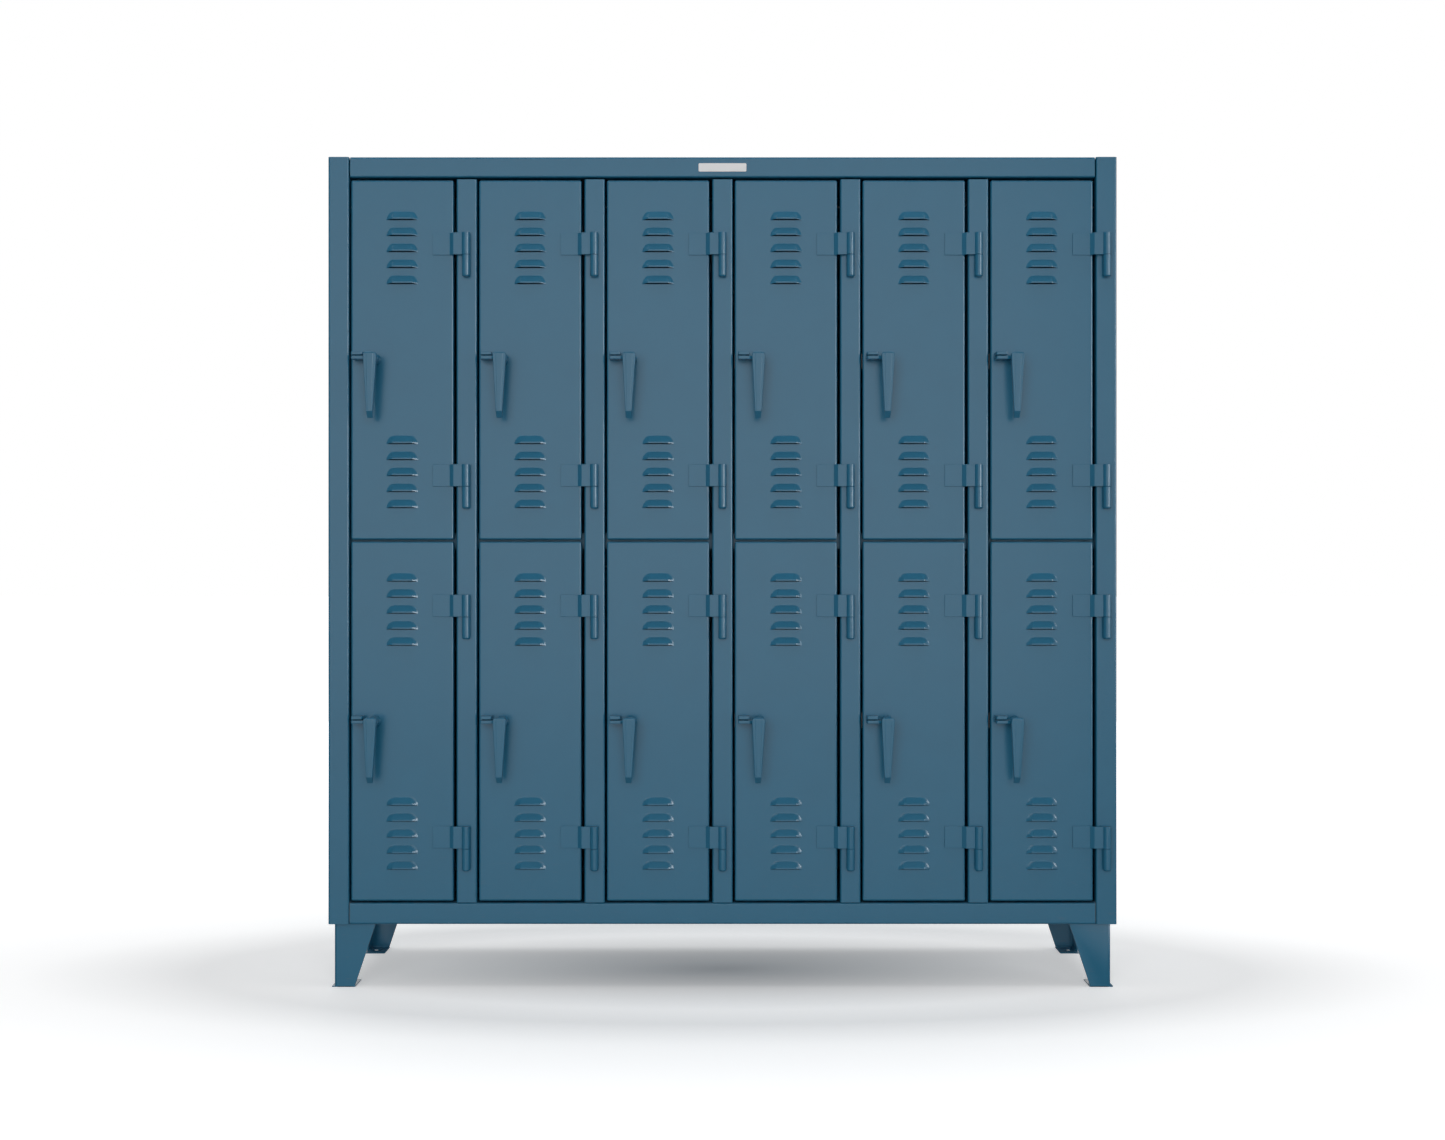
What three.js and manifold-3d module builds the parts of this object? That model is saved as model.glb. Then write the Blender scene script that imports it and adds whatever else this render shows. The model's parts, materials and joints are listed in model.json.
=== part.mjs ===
// A heavy-duty welded school locker: two tiers of compartments in one cabinet on four gusset legs.
// Units are millimetres. +X is to the right, +Y runs from the doors to the back, +Z is up.
// Inside the cabinet group, y = 0 is the front face of the frame and z = 0 is the floor.
import * as THREE from "three";
import { mergeVertices } from "three/addons/utils/BufferGeometryUtils.js";
import Module from "manifold-3d";

// ---------------------------------------------------------------- driving dimensions

// Cabinet
const COLUMNS = 6;
const OPENING_WIDTH = 254;
const POST_WIDTH = 50.8;
const RAIL_HEIGHT = 50.8;
const BODY_HEIGHT = 1828.8;
const BODY_DEPTH = 457.2;
const LEG_HEIGHT = 152.4;

// Sheet metal
const FRAME_SHEET = 1.9;
const PANEL_SHEET = 1.5;
const RETURN_DEPTH = 25.4;
const SHELF_FLANGE = 38.1;
const BASE_FLANGE = 40;
const WELD_GAP = 0.3; // left between two pieces that are welded face to face

// Doors
const DOOR_SHEET = 2.7;
const DOOR_GAP = 4.7625;
const DOOR_RETURN = 19.05;

// Louvres
const LOUVRES_PER_GROUP = 5;
const LOUVRE_PITCH = 38.1;
const LOUVRE_WIDTH = 75;
const LOUVRE_TOP_WIDTH = 50;
const LOUVRE_HEIGHT = 20.5;
const LOUVRE_DEPTH = 7;
const LOUVRE_SHEET = 1.6;
const LOUVRE_END_MARGIN = 75; // from a door's top or bottom edge to the nearest louvre

// Lift-off hinges
const BARREL_RADIUS = 9.525;
const BARREL_STANDOFF = 0.5; // between the door's knuckle and the frame's face
const KNUCKLE_HEIGHT = 52.4;
const KNUCKLE_GAP = 0.5;
const HINGE_END_MARGIN = 126.5; // from a door's top or bottom edge to the nearest leaf
const LEAF_THICKNESS = 3;
const LEAF_LENGTH = 50.3; // from the door's hinge edge inwards
const LEAF_RAMP = 8;
const PIN_RADIUS = 4.7;
const PIN_CLEARANCE = 0.3;
const PIN_END_CLEARANCE = 6.4; // over the end of the pin, inside the door's knuckle
const KNUCKLE_CHAMFER = 3;
const KNUCKLE_CAP = 8; // solid top of the door's knuckle, over its blind bore
const WELD_PAD_WIDTH = 12;

// Lever handle and padlock lugs
const SPINDLE_INSET = 56.75; // from the door's latch edge to the handle's axis
const SPINDLE_RADIUS = 6;
const SPINDLE_CLEARANCE = 0.3;
const HUB_RADIUS = 13;
const HUB_STANDOFF = 1.5; // between the hub and the door's face
const LEVER_TOP_RADIUS = 15.25;
const LEVER_TIP_WIDTH = 12.5;
const LEVER_REACH = 142; // from the handle's axis to the tip
const LEVER_TOP_FRONT = 59; // how far the top of the lever stands in front of the door
const LEVER_TIP_FRONT = 42;
const LEVER_TOP_THICKNESS = 15;
const LEVER_TIP_THICKNESS = 9;
const LUG_THICKNESS = 7.5;
const LUG_GAP = 2.5;
const LUG_EDGE_INSET = 11; // from the door's latch edge to the lugs
const LUG_WIDTH = 27.5;
const LUG_FRONT = 40;
const LUG_DOOR_CLEARANCE = 5;
const MOVING_LUG_TOP = 5.25; // above the handle's axis
const PADLOCK_HOLE_RADIUS = 5;

// Latch bar behind each door
const LATCH_HEIGHT = 41;
const LATCH_THICKNESS = 3;
const LATCH_REAR_CLEARANCE = 1; // behind the frame's returns
const LATCH_SWING_CLEARANCE = 0.5; // to the frame as the door swings
const LATCH_TAIL = 16;

// Legs
const LEG_PLATE = 4.5;
const LEG_SIDE_INSET = 12;
const LEG_FRONT_INSET = 13.3;
const LEG_TOP_WIDTH = 99;
const LEG_FOOT_WIDTH = 48;
const FOOT_WIDTH = 57;
const FOOT_DEPTH = 73;
const FOOT_OVERHANG = 6.7;
const ANCHOR_HOLE_RADIUS = 6.5;

// Blank plate at the middle of the header
const NAME_PLATE_WIDTH = 114;
const NAME_PLATE_HEIGHT = 20;
const NAME_PLATE_THICKNESS = 1;

// Number of flats on round pieces
const ROUND_SIDES = 10;

// ---------------------------------------------------------------- derived dimensions

const COLUMN_PITCH = OPENING_WIDTH + POST_WIDTH;
const BODY_WIDTH = COLUMNS * COLUMN_PITCH + POST_WIDTH;
const BODY_TOP = LEG_HEIGHT + BODY_HEIGHT;
const OPENING_BOTTOM = LEG_HEIGHT + RAIL_HEIGHT;
const OPENING_TOP = BODY_TOP - RAIL_HEIGHT;
const OPENING_MIDDLE = (OPENING_BOTTOM + OPENING_TOP) / 2;
const DOOR_WIDTH = OPENING_WIDTH - 2 * DOOR_GAP;
const DOOR_HEIGHT = (OPENING_TOP - OPENING_BOTTOM - 3 * DOOR_GAP) / 2;
const TIER_PITCH = DOOR_HEIGHT + DOOR_GAP;
const PANEL_BACK = BODY_DEPTH - PANEL_SHEET - WELD_GAP; // rear edge of what meets the back panel
const REAR_ZONE = RETURN_DEPTH + WELD_GAP; // front edge of what lies behind the frame
const HINGE_TO_DOOR = DOOR_GAP + POST_WIDTH / 2; // from a hinge axis to its door's edge
const HINGE_FRONT = BARREL_RADIUS + BARREL_STANDOFF; // from the frame's face out to a hinge axis
const BORE_DEPTH = KNUCKLE_HEIGHT - KNUCKLE_CAP;
const PIN_LENGTH = BORE_DEPTH - PIN_END_CLEARANCE;
const LEVER_BACK = LEVER_TOP_FRONT - LEVER_TOP_THICKNESS;
const LATCH_FRONT = RETURN_DEPTH + LATCH_REAR_CLEARANCE;
const LATCH_BACK = LATCH_FRONT + LATCH_THICKNESS;

// ---------------------------------------------------------------- materials

const PAINT = { color: 0x4a6d84, roughness: 0.42, metalness: 0.1 };
const PANEL_PAINT = { color: 0x466880, roughness: 0.5, metalness: 0.1 };
const CAST_PAINT = { color: 0x47697f, roughness: 0.38, metalness: 0.15 };
const ZINC = { color: 0x9a9ea2, roughness: 0.35, metalness: 0.9 };
const PLATE_PAINT = { color: 0xe4e6e7, roughness: 0.5, metalness: 0 };

// ---------------------------------------------------------------- solids

const wasm = await Module();
wasm.setup();

// A closed three.js geometry as a manifold-3d solid.
function solid(geometry) {
  const bare = geometry.index ? geometry.toNonIndexed() : geometry.clone();
  bare.deleteAttribute("normal");
  bare.deleteAttribute("uv");
  const merged = mergeVertices(bare, 1e-4);
  const mesh = new wasm.Mesh({
    numProp: 3,
    vertProperties: merged.attributes.position.array,
    triVerts: new Uint32Array(merged.index.array),
  });
  return new wasm.Manifold(mesh);
}

// A manifold-3d solid back as a three.js geometry with flat normals.
function geometryOf(made) {
  const mesh = made.getMesh();
  const geometry = new THREE.BufferGeometry();
  geometry.setAttribute("position", new THREE.BufferAttribute(mesh.vertProperties, 3));
  geometry.setIndex(new THREE.BufferAttribute(mesh.triVerts, 1));
  const flat = geometry.toNonIndexed();
  flat.computeVertexNormals();
  return flat;
}

function join(solids) {
  return solids.reduce((whole, piece) => whole.add(piece));
}

function cut(whole, cutters) {
  return cutters.reduce((left, cutter) => left.subtract(cutter), whole);
}

// An axis-aligned block between two corners.
function block([x0, y0, z0], [x1, y1, z1]) {
  const geometry = new THREE.BoxGeometry(x1 - x0, y1 - y0, z1 - z0);
  geometry.translate((x0 + x1) / 2, (y0 + y1) / 2, (z0 + z1) / 2);
  return solid(geometry);
}

function shapeOf(points) {
  return new THREE.Shape(points.map(([u, v]) => new THREE.Vector2(u, v)));
}

function extrusion(shape, length, curveSegments) {
  return new THREE.ExtrudeGeometry(shape, { depth: length, bevelEnabled: false, curveSegments });
}

// An outline of [x, y] points, extruded from z0 up to z1.
function prismZ(points, z0, z1) {
  const geometry = extrusion(shapeOf(points), z1 - z0);
  geometry.translate(0, 0, z0);
  return solid(geometry);
}

// An outline of [y, z] points, extruded from x0 to x1.
function prismX(points, x0, x1) {
  const geometry = extrusion(shapeOf(points), x1 - x0);
  const turn = new THREE.Matrix4().makeBasis(
    new THREE.Vector3(0, 1, 0),
    new THREE.Vector3(0, 0, 1),
    new THREE.Vector3(1, 0, 0),
  );
  geometry.applyMatrix4(turn);
  geometry.translate(x0, 0, 0);
  return solid(geometry);
}

// A THREE.Shape in x and z, extruded from y0 to y1.
function slabY(shape, y0, y1) {
  const geometry = extrusion(shape, y1 - y0, 4);
  geometry.rotateX(Math.PI / 2);
  geometry.translate(0, y1, 0);
  return solid(geometry);
}

function prismY(points, y0, y1) {
  return slabY(shapeOf(points), y0, y1);
}

// A round bar along Z, centred on (x, y).
function rodZ(radius, x, y, z0, z1) {
  const geometry = new THREE.CylinderGeometry(radius, radius, z1 - z0, ROUND_SIDES);
  geometry.rotateX(Math.PI / 2);
  geometry.translate(x, y, (z0 + z1) / 2);
  return solid(geometry);
}

// A round bar along Y, centred on (x, z) = (0, 0).
function rodY(radius, y0, y1) {
  const geometry = new THREE.CylinderGeometry(radius, radius, y1 - y0, ROUND_SIDES);
  geometry.translate(0, (y0 + y1) / 2, 0);
  return solid(geometry);
}

// The corner radius of a faceted bore whose flats stand at the given radius.
function boreRadius(flatRadius) {
  return flatRadius / Math.cos(Math.PI / ROUND_SIDES);
}

// A profile of [radius, z] points turned about the Z axis. It starts and ends on the axis.
function turnedZ(profile) {
  const points = profile.map(([r, z]) => new THREE.Vector2(r, z));
  const geometry = new THREE.LatheGeometry(points, ROUND_SIDES);
  geometry.rotateX(Math.PI / 2);
  return solid(geometry);
}

function part(name, geometry, finish) {
  const mesh = new THREE.Mesh(geometry, new THREE.MeshStandardMaterial(finish));
  mesh.name = name;
  return mesh;
}

// ---------------------------------------------------------------- cabinet shell

// Folded side panel with its post flange; side is -1 on the left and 1 on the right.
function sidePanel(side) {
  const outer = BODY_WIDTH / 2;
  const inner = outer - POST_WIDTH;
  const t = FRAME_SHEET;
  const outline = [
    [outer, 0],
    [outer, BODY_DEPTH],
    [outer - t, BODY_DEPTH],
    [outer - t, t],
    [inner + t, t],
    [inner + t, RETURN_DEPTH],
    [inner, RETURN_DEPTH],
    [inner, 0],
  ];
  const placed = outline.map(([x, y]) => [side * x, y]);
  return prismZ(side > 0 ? placed : placed.reverse(), LEG_HEIGHT, BODY_TOP);
}

// Channel rail between the posts, open to the back.
function rail(z0) {
  const z1 = z0 + RAIL_HEIGHT;
  const t = FRAME_SHEET;
  const half = BODY_WIDTH / 2 - POST_WIDTH - WELD_GAP;
  const outline = [
    [0, z0],
    [RETURN_DEPTH, z0],
    [RETURN_DEPTH, z0 + t],
    [t, z0 + t],
    [t, z1 - t],
    [RETURN_DEPTH, z1 - t],
    [RETURN_DEPTH, z1],
    [0, z1],
  ];
  return prismX(outline, -half, half);
}

// Mullion channel and the partition welded down its middle, centred on x = 0.
function divider() {
  const w = POST_WIDTH / 2;
  const t = FRAME_SHEET;
  const p = PANEL_SHEET / 2;
  const outline = [
    [-w, 0],
    [w, 0],
    [w, RETURN_DEPTH],
    [w - t, RETURN_DEPTH],
    [w - t, t],
    [p, t],
    [p, PANEL_BACK],
    [-p, PANEL_BACK],
    [-p, t],
    [t - w, t],
    [t - w, RETURN_DEPTH],
    [-w, RETURN_DEPTH],
  ];
  const mullion = prismZ(outline, OPENING_BOTTOM + WELD_GAP, OPENING_TOP - WELD_GAP);
  const topEdge = BODY_TOP - PANEL_SHEET - WELD_GAP;
  const partition = block([-p, REAR_ZONE, OPENING_BOTTOM + WELD_GAP], [p, PANEL_BACK, topEdge]);
  return mullion.add(partition);
}

function backPanel() {
  const half = BODY_WIDTH / 2 - FRAME_SHEET - WELD_GAP;
  return block([-half, BODY_DEPTH - PANEL_SHEET, LEG_HEIGHT], [half, BODY_DEPTH, BODY_TOP]);
}

// Flat top, with two tabs that reach forward between each post and its return.
function topPanel() {
  const side = BODY_WIDTH / 2 - FRAME_SHEET - WELD_GAP;
  const tab = BODY_WIDTH / 2 - POST_WIDTH + FRAME_SHEET + WELD_GAP;
  const tabFront = FRAME_SHEET + WELD_GAP;
  const outline = [
    [-side, tabFront],
    [-tab, tabFront],
    [-tab, REAR_ZONE],
    [tab, REAR_ZONE],
    [tab, tabFront],
    [side, tabFront],
    [side, PANEL_BACK],
    [-side, PANEL_BACK],
  ];
  return prismZ(outline, BODY_TOP - PANEL_SHEET, BODY_TOP);
}

// Compartment floor, flanged down and in at both ends so that the legs have a face to weld to.
function bottomPanel() {
  const side = BODY_WIDTH / 2 - FRAME_SHEET - WELD_GAP;
  const t = PANEL_SHEET;
  const z0 = LEG_HEIGHT;
  const z1 = OPENING_BOTTOM;
  const outline = [
    [-side, z1],
    [-side, z0],
    [BASE_FLANGE - side, z0],
    [BASE_FLANGE - side, z0 + t],
    [t - side, z0 + t],
    [t - side, z1 - t],
    [side - t, z1 - t],
    [side - t, z0 + t],
    [side - BASE_FLANGE, z0 + t],
    [side - BASE_FLANGE, z0],
    [side, z0],
    [side, z1],
  ];
  return prismY(outline, REAR_ZONE, PANEL_BACK);
}

// Flanged shelf between the upper and lower compartments of one column, from x0 to x1.
function shelf(x0, x1) {
  const top = OPENING_MIDDLE + SHELF_FLANGE / 2;
  const t = PANEL_SHEET;
  const outline = [
    [REAR_ZONE, top],
    [REAR_ZONE, top - SHELF_FLANGE],
    [REAR_ZONE + t, top - SHELF_FLANGE],
    [REAR_ZONE + t, top - t],
    [PANEL_BACK, top - t],
    [PANEL_BACK, top],
  ];
  return prismX(outline, x0, x1);
}

// ---------------------------------------------------------------- hinges

// Heights of a door's two leaves above the door's middle, at the bottom edge of each leaf.
const LEAF_HEIGHTS = [
  DOOR_HEIGHT / 2 - HINGE_END_MARGIN - KNUCKLE_HEIGHT,
  HINGE_END_MARGIN - DOOR_HEIGHT / 2,
];

// Lower knuckle with its pin and weld pad; the hinge axis is at x = 0 and z = 0 is the knuckle's top.
function lowerKnuckle() {
  const r = BARREL_RADIUS;
  const turned = turnedZ([
    [0, -KNUCKLE_HEIGHT],
    [r - KNUCKLE_CHAMFER, -KNUCKLE_HEIGHT],
    [r, KNUCKLE_CHAMFER - KNUCKLE_HEIGHT],
    [r, 0],
    [PIN_RADIUS, 0],
    [PIN_RADIUS, PIN_LENGTH],
    [0, PIN_LENGTH],
  ]);
  const half = WELD_PAD_WIDTH / 2;
  const padBottom = 2 * KNUCKLE_CHAMFER - KNUCKLE_HEIGHT;
  const pad = block([-half, 0, padBottom], [half, HINGE_FRONT + FRAME_SHEET / 2, -KNUCKLE_CHAMFER]);
  return turned.add(pad);
}

// Upper knuckle with its blind bore and its offset leaf, in the same place; z = 0 is its bottom.
function leafAndKnuckle() {
  const r = BARREL_RADIUS;
  const bore = boreRadius(PIN_RADIUS + PIN_CLEARANCE);
  const knuckle = turnedZ([
    [0, BORE_DEPTH],
    [bore, BORE_DEPTH],
    [bore, 0],
    [r, 0],
    [r, KNUCKLE_HEIGHT],
    [0, KNUCKLE_HEIGHT],
  ]);
  const t = LEAF_THICKNESS;
  const sink = DOOR_SHEET / 2;
  const doorEdge = -HINGE_TO_DOOR;
  const wall = -(bore + r) / 2;
  const leaf = prismZ(
    [
      [doorEdge - LEAF_LENGTH, HINGE_FRONT - t],
      [doorEdge - LEAF_RAMP, HINGE_FRONT - t],
      [doorEdge, -t / 2],
      [wall, -t / 2],
      [wall, t / 2],
      [doorEdge + t / 2, t / 2],
      [doorEdge - LEAF_RAMP + t / 2, HINGE_FRONT],
      [doorEdge - LEAF_RAMP + t / 2, HINGE_FRONT + sink],
      [doorEdge - LEAF_LENGTH, HINGE_FRONT + sink],
    ],
    0,
    KNUCKLE_HEIGHT,
  );
  return knuckle.add(leaf);
}

// Adds to a post the four lower knuckles on its hinge line at x.
function withLowerKnuckles(post, x) {
  const knuckle = lowerKnuckle();
  const added = TIER_CENTRES.flatMap((centre) =>
    LEAF_HEIGHTS.map((height) => knuckle.translate([x, -HINGE_FRONT, centre + height - KNUCKLE_GAP])),
  );
  return join([post, ...added]);
}

// ---------------------------------------------------------------- door

const TIER_NAMES = ["lower", "upper"];
const TIER_CENTRES = [OPENING_MIDDLE - TIER_PITCH / 2, OPENING_MIDDLE + TIER_PITCH / 2];
const DOOR_LEFT = -HINGE_TO_DOOR - DOOR_WIDTH; // a door's latch edge, from its hinge axis
const SPINDLE_X = DOOR_LEFT + SPINDLE_INSET; // the handle's axis, from the hinge axis

// A hood that leans out towards its bottom edge: a wedge of the given size with its bottom at z = 0.
function hood(bottomWidth, topWidth, height, depth, back) {
  const front = shapeOf([
    [-bottomWidth / 2, 0],
    [bottomWidth / 2, 0],
    [topWidth / 2, height],
    [-topWidth / 2, height],
  ]);
  const side = prismX(
    [
      [back, 0],
      [back, height],
      [0, height],
      [-depth, 0],
    ],
    -bottomWidth,
    bottomWidth,
  );
  return slabY(front, -depth, back).intersect(side);
}

// Heights of all louvres above a door's middle, at each hood's bottom edge.
function louvreHeights() {
  const highest = DOOR_HEIGHT / 2 - LOUVRE_END_MARGIN - LOUVRE_HEIGHT;
  const lowest = LOUVRE_END_MARGIN - DOOR_HEIGHT / 2;
  const steps = Array.from({ length: LOUVRES_PER_GROUP }, (_, i) => i * LOUVRE_PITCH);
  return [...steps.map((step) => highest - step), ...steps.map((step) => lowest + step)];
}

// Fixed padlock lug, welded to the door above the handle's own lug; x is measured from the spindle.
function fixedLug() {
  const x0 = LUG_EDGE_INSET - SPINDLE_INSET;
  const z0 = MOVING_LUG_TOP + LUG_GAP;
  const plate = block([x0, -LUG_FRONT, z0], [x0 + LUG_WIDTH, DOOR_SHEET / 2, z0 + LUG_THICKNESS]);
  return cut(plate, [padlockHole(z0 - 1, z0 + LUG_THICKNESS + 1)]);
}

function padlockHole(z0, z1) {
  const x = LUG_EDGE_INSET + LUG_WIDTH / 2 - SPINDLE_INSET;
  const y = -(LUG_FRONT + LUG_DOOR_CLEARANCE) / 2;
  return rodZ(PADLOCK_HOLE_RADIUS, x, y, z0, z1);
}

// Folded door pan with louvres, hinge leaves and the fixed lug.
// x = 0 is the hinge axis, y = 0 the door's front face and z = 0 the door's middle.
function door() {
  const right = -HINGE_TO_DOOR;
  const top = DOOR_HEIGHT / 2;
  const t = DOOR_SHEET;
  const whole = block([DOOR_LEFT, 0, -top], [right, DOOR_RETURN, top]);
  const hollow = block([DOOR_LEFT + t, t, t - top], [right - t, DOOR_RETURN + 1, top - t]);
  const middle = (DOOR_LEFT + right) / 2;

  const s = LOUVRE_SHEET;
  const outer = hood(LOUVRE_WIDTH, LOUVRE_TOP_WIDTH, LOUVRE_HEIGHT, LOUVRE_DEPTH, t / 2);
  const inner = hood(
    LOUVRE_WIDTH - 4 * s,
    LOUVRE_TOP_WIDTH - 4 * s,
    LOUVRE_HEIGHT - 2 * s,
    LOUVRE_DEPTH - s,
    t + 1,
  );
  const places = louvreHeights().map((height) => [middle, 0, height]);
  const hoods = places.map((place) => outer.translate(place));
  const slots = places.map(([x, y, z]) => inner.translate([x, y, z - 0.01]));

  const leaf = leafAndKnuckle();
  const leaves = LEAF_HEIGHTS.map((height) => leaf.translate([0, -HINGE_FRONT, height]));
  const lug = fixedLug().translate([SPINDLE_X, 0, 0]);
  const spindleBore = boreRadius(SPINDLE_RADIUS + SPINDLE_CLEARANCE);
  const bore = rodY(spindleBore, -1, t + 1).translate([SPINDLE_X, 0, 0]);
  return cut(join([whole.subtract(hollow), ...hoods, ...leaves, lug]), [...slots, bore]);
}

// ---------------------------------------------------------------- handle and latch

// Cast lever with its hub, spindle and padlock lug; the axis is at x = z = 0 and y = 0 is the door's face.
function handle() {
  const front = new THREE.Shape();
  front.moveTo(-LEVER_TIP_WIDTH / 2, -LEVER_REACH);
  front.lineTo(LEVER_TIP_WIDTH / 2, -LEVER_REACH);
  front.lineTo(LEVER_TOP_RADIUS, 0);
  front.absarc(0, 0, LEVER_TOP_RADIUS, 0, Math.PI, false);
  front.closePath();
  const lean = (LEVER_TOP_FRONT - LEVER_TIP_FRONT) / (LEVER_REACH + LEVER_TOP_RADIUS);
  const thinning = (LEVER_TOP_THICKNESS - LEVER_TIP_THICKNESS) / (LEVER_REACH + LEVER_TOP_RADIUS);
  const frontAt = (z) => -LEVER_TOP_FRONT + (LEVER_TOP_RADIUS - z) * lean;
  const backAt = (z) => -LEVER_BACK + (LEVER_TOP_RADIUS - z) * (lean - thinning);
  const side = prismX(
    [
      [frontAt(-LEVER_REACH), -LEVER_REACH],
      [backAt(-LEVER_REACH), -LEVER_REACH],
      [backAt(LEVER_TOP_RADIUS), LEVER_TOP_RADIUS],
      [frontAt(LEVER_TOP_RADIUS), LEVER_TOP_RADIUS],
    ],
    -LEVER_TOP_RADIUS,
    LEVER_TOP_RADIUS,
  );
  const lever = slabY(front, -LEVER_TOP_FRONT, 0).intersect(side);
  const overlap = LEVER_TOP_THICKNESS / 2;
  const hub = rodY(HUB_RADIUS, -LEVER_BACK - overlap, -HUB_STANDOFF);
  const spindle = rodY(SPINDLE_RADIUS, -HUB_STANDOFF - 1, LATCH_FRONT - WELD_GAP);
  const lugLeft = LUG_EDGE_INSET - SPINDLE_INSET;
  const lugBottom = MOVING_LUG_TOP - LUG_THICKNESS;
  const lug = block([lugLeft, -LUG_FRONT, lugBottom], [0, -LUG_DOOR_CLEARANCE, MOVING_LUG_TOP]);
  const whole = join([lever, hub, spindle, lug]);
  return whole.subtract(padlockHole(lugBottom - 1, MOVING_LUG_TOP + 1));
}

// Flat latch bar on the spindle's inner end. Its nose stays inside the path that clears the frame as
// the door swings on its hinges.
function latchBar() {
  const frameReach = HINGE_TO_DOOR + DOOR_WIDTH + DOOR_GAP - LATCH_SWING_CLEARANCE;
  const depth = HINGE_FRONT + LATCH_BACK;
  const nose = -Math.sqrt(frameReach ** 2 - depth ** 2) - SPINDLE_X;
  return block(
    [nose, LATCH_FRONT, -LATCH_HEIGHT / 2],
    [LATCH_TAIL, LATCH_BACK, LATCH_HEIGHT / 2],
  );
}

// ---------------------------------------------------------------- leg

// Left front leg: two tapered gusset plates bent from one sheet, on a foot plate with an anchor hole.
function leg() {
  const x = LEG_SIDE_INSET - BODY_WIDTH / 2;
  const y = LEG_FRONT_INSET;
  const top = LEG_HEIGHT - WELD_GAP;
  const taper = [
    [0, 0],
    [LEG_FOOT_WIDTH, 0],
    [LEG_TOP_WIDTH, top],
    [0, top],
  ];
  const frontPlate = prismY(taper.map(([u, z]) => [x + u, z]), y, y + LEG_PLATE);
  const sidePlate = prismX(taper.map(([u, z]) => [y + u, z]), x, x + LEG_PLATE);
  const footLeft = x - FOOT_OVERHANG;
  const foot = block([footLeft, y, 0], [footLeft + FOOT_WIDTH, y + FOOT_DEPTH, LEG_PLATE]);
  const holeX = footLeft + FOOT_WIDTH / 2;
  const holeY = y + FOOT_DEPTH / 2;
  const hole = rodZ(ANCHOR_HOLE_RADIUS, holeX, holeY, -1, LEG_PLATE + 1);
  return join([frontPlate, sidePlate, foot]).subtract(hole);
}

// ---------------------------------------------------------------- assembly

// Middle of a column's opening, and the hinge line to the right of it.
function columnX(column) {
  return -BODY_WIDTH / 2 + POST_WIDTH + OPENING_WIDTH / 2 + column * COLUMN_PITCH;
}

function hingeX(column) {
  return columnX(column) + COLUMN_PITCH / 2;
}

function addShell(cabinet) {
  const rightPost = withLowerKnuckles(sidePanel(1), hingeX(COLUMNS - 1));
  cabinet.add(part("left_side_panel", geometryOf(sidePanel(-1)), PAINT));
  cabinet.add(part("right_side_panel", geometryOf(rightPost), PAINT));
  cabinet.add(part("back_panel", geometryOf(backPanel()), PANEL_PAINT));
  cabinet.add(part("top_panel", geometryOf(topPanel()), PANEL_PAINT));
  cabinet.add(part("bottom_panel", geometryOf(bottomPanel()), PANEL_PAINT));
  cabinet.add(part("header_rail", geometryOf(rail(BODY_TOP - RAIL_HEIGHT)), PAINT));
  cabinet.add(part("sill_rail", geometryOf(rail(LEG_HEIGHT)), PAINT));
}

function addDividers(cabinet) {
  const geometry = geometryOf(withLowerKnuckles(divider(), 0));
  for (let column = 0; column < COLUMNS - 1; column += 1) {
    const mesh = part(`divider_${column + 1}`, geometry, PAINT);
    mesh.position.x = hingeX(column);
    cabinet.add(mesh);
  }
}

function addShelves(cabinet) {
  const sideFace = BODY_WIDTH / 2 - FRAME_SHEET - WELD_GAP;
  const partitionFace = PANEL_SHEET / 2 + WELD_GAP;
  for (let column = 0; column < COLUMNS; column += 1) {
    const x0 = column === 0 ? -sideFace : hingeX(column - 1) + partitionFace;
    const x1 = column === COLUMNS - 1 ? sideFace : hingeX(column) - partitionFace;
    cabinet.add(part(`shelf_${column + 1}`, geometryOf(shelf(x0, x1)), PANEL_PAINT));
  }
}

function addLegs(cabinet) {
  const made = leg();
  const toBack = made.mirror([0, 1, 0]).translate([0, BODY_DEPTH, 0]);
  const legs = {
    front_left_leg: made,
    front_right_leg: made.mirror([1, 0, 0]),
    rear_left_leg: toBack,
    rear_right_leg: toBack.mirror([1, 0, 0]),
  };
  for (const [name, shape] of Object.entries(legs)) {
    cabinet.add(part(name, geometryOf(shape), PAINT));
  }
}

function addNamePlate(cabinet) {
  const half = NAME_PLATE_WIDTH / 2;
  const middle = BODY_TOP - RAIL_HEIGHT / 2;
  const plate = block(
    [-half, -WELD_GAP - NAME_PLATE_THICKNESS, middle - NAME_PLATE_HEIGHT / 2],
    [half, -WELD_GAP, middle + NAME_PLATE_HEIGHT / 2],
  );
  cabinet.add(part("name_plate", geometryOf(plate), PLATE_PAINT));
}

// Every door is a group on its hinge axis, and its handle is a group on the spindle's axis.
function addDoors(cabinet) {
  const shapes = { door: geometryOf(door()), handle: geometryOf(handle()), latch: geometryOf(latchBar()) };
  TIER_NAMES.forEach((tier, level) => {
    for (let column = 0; column < COLUMNS; column += 1) {
      const tag = `${tier}_${column + 1}`;
      const hung = new THREE.Group();
      hung.position.set(hingeX(column), 0, TIER_CENTRES[level]);
      hung.add(part(`door_${tag}`, shapes.door, PAINT));
      const turning = new THREE.Group();
      turning.position.x = SPINDLE_X;
      turning.add(part(`handle_${tag}`, shapes.handle, CAST_PAINT));
      turning.add(part(`latch_bar_${tag}`, shapes.latch, ZINC));
      hung.add(turning);
      cabinet.add(hung);
    }
  });
}

const cabinet = new THREE.Group();
cabinet.position.y = (LEVER_TOP_FRONT - BODY_DEPTH) / 2; // the levers stand furthest forward
addShell(cabinet);
addDividers(cabinet);
addShelves(cabinet);
addLegs(cabinet);
addNamePlate(cabinet);
addDoors(cabinet);

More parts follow.
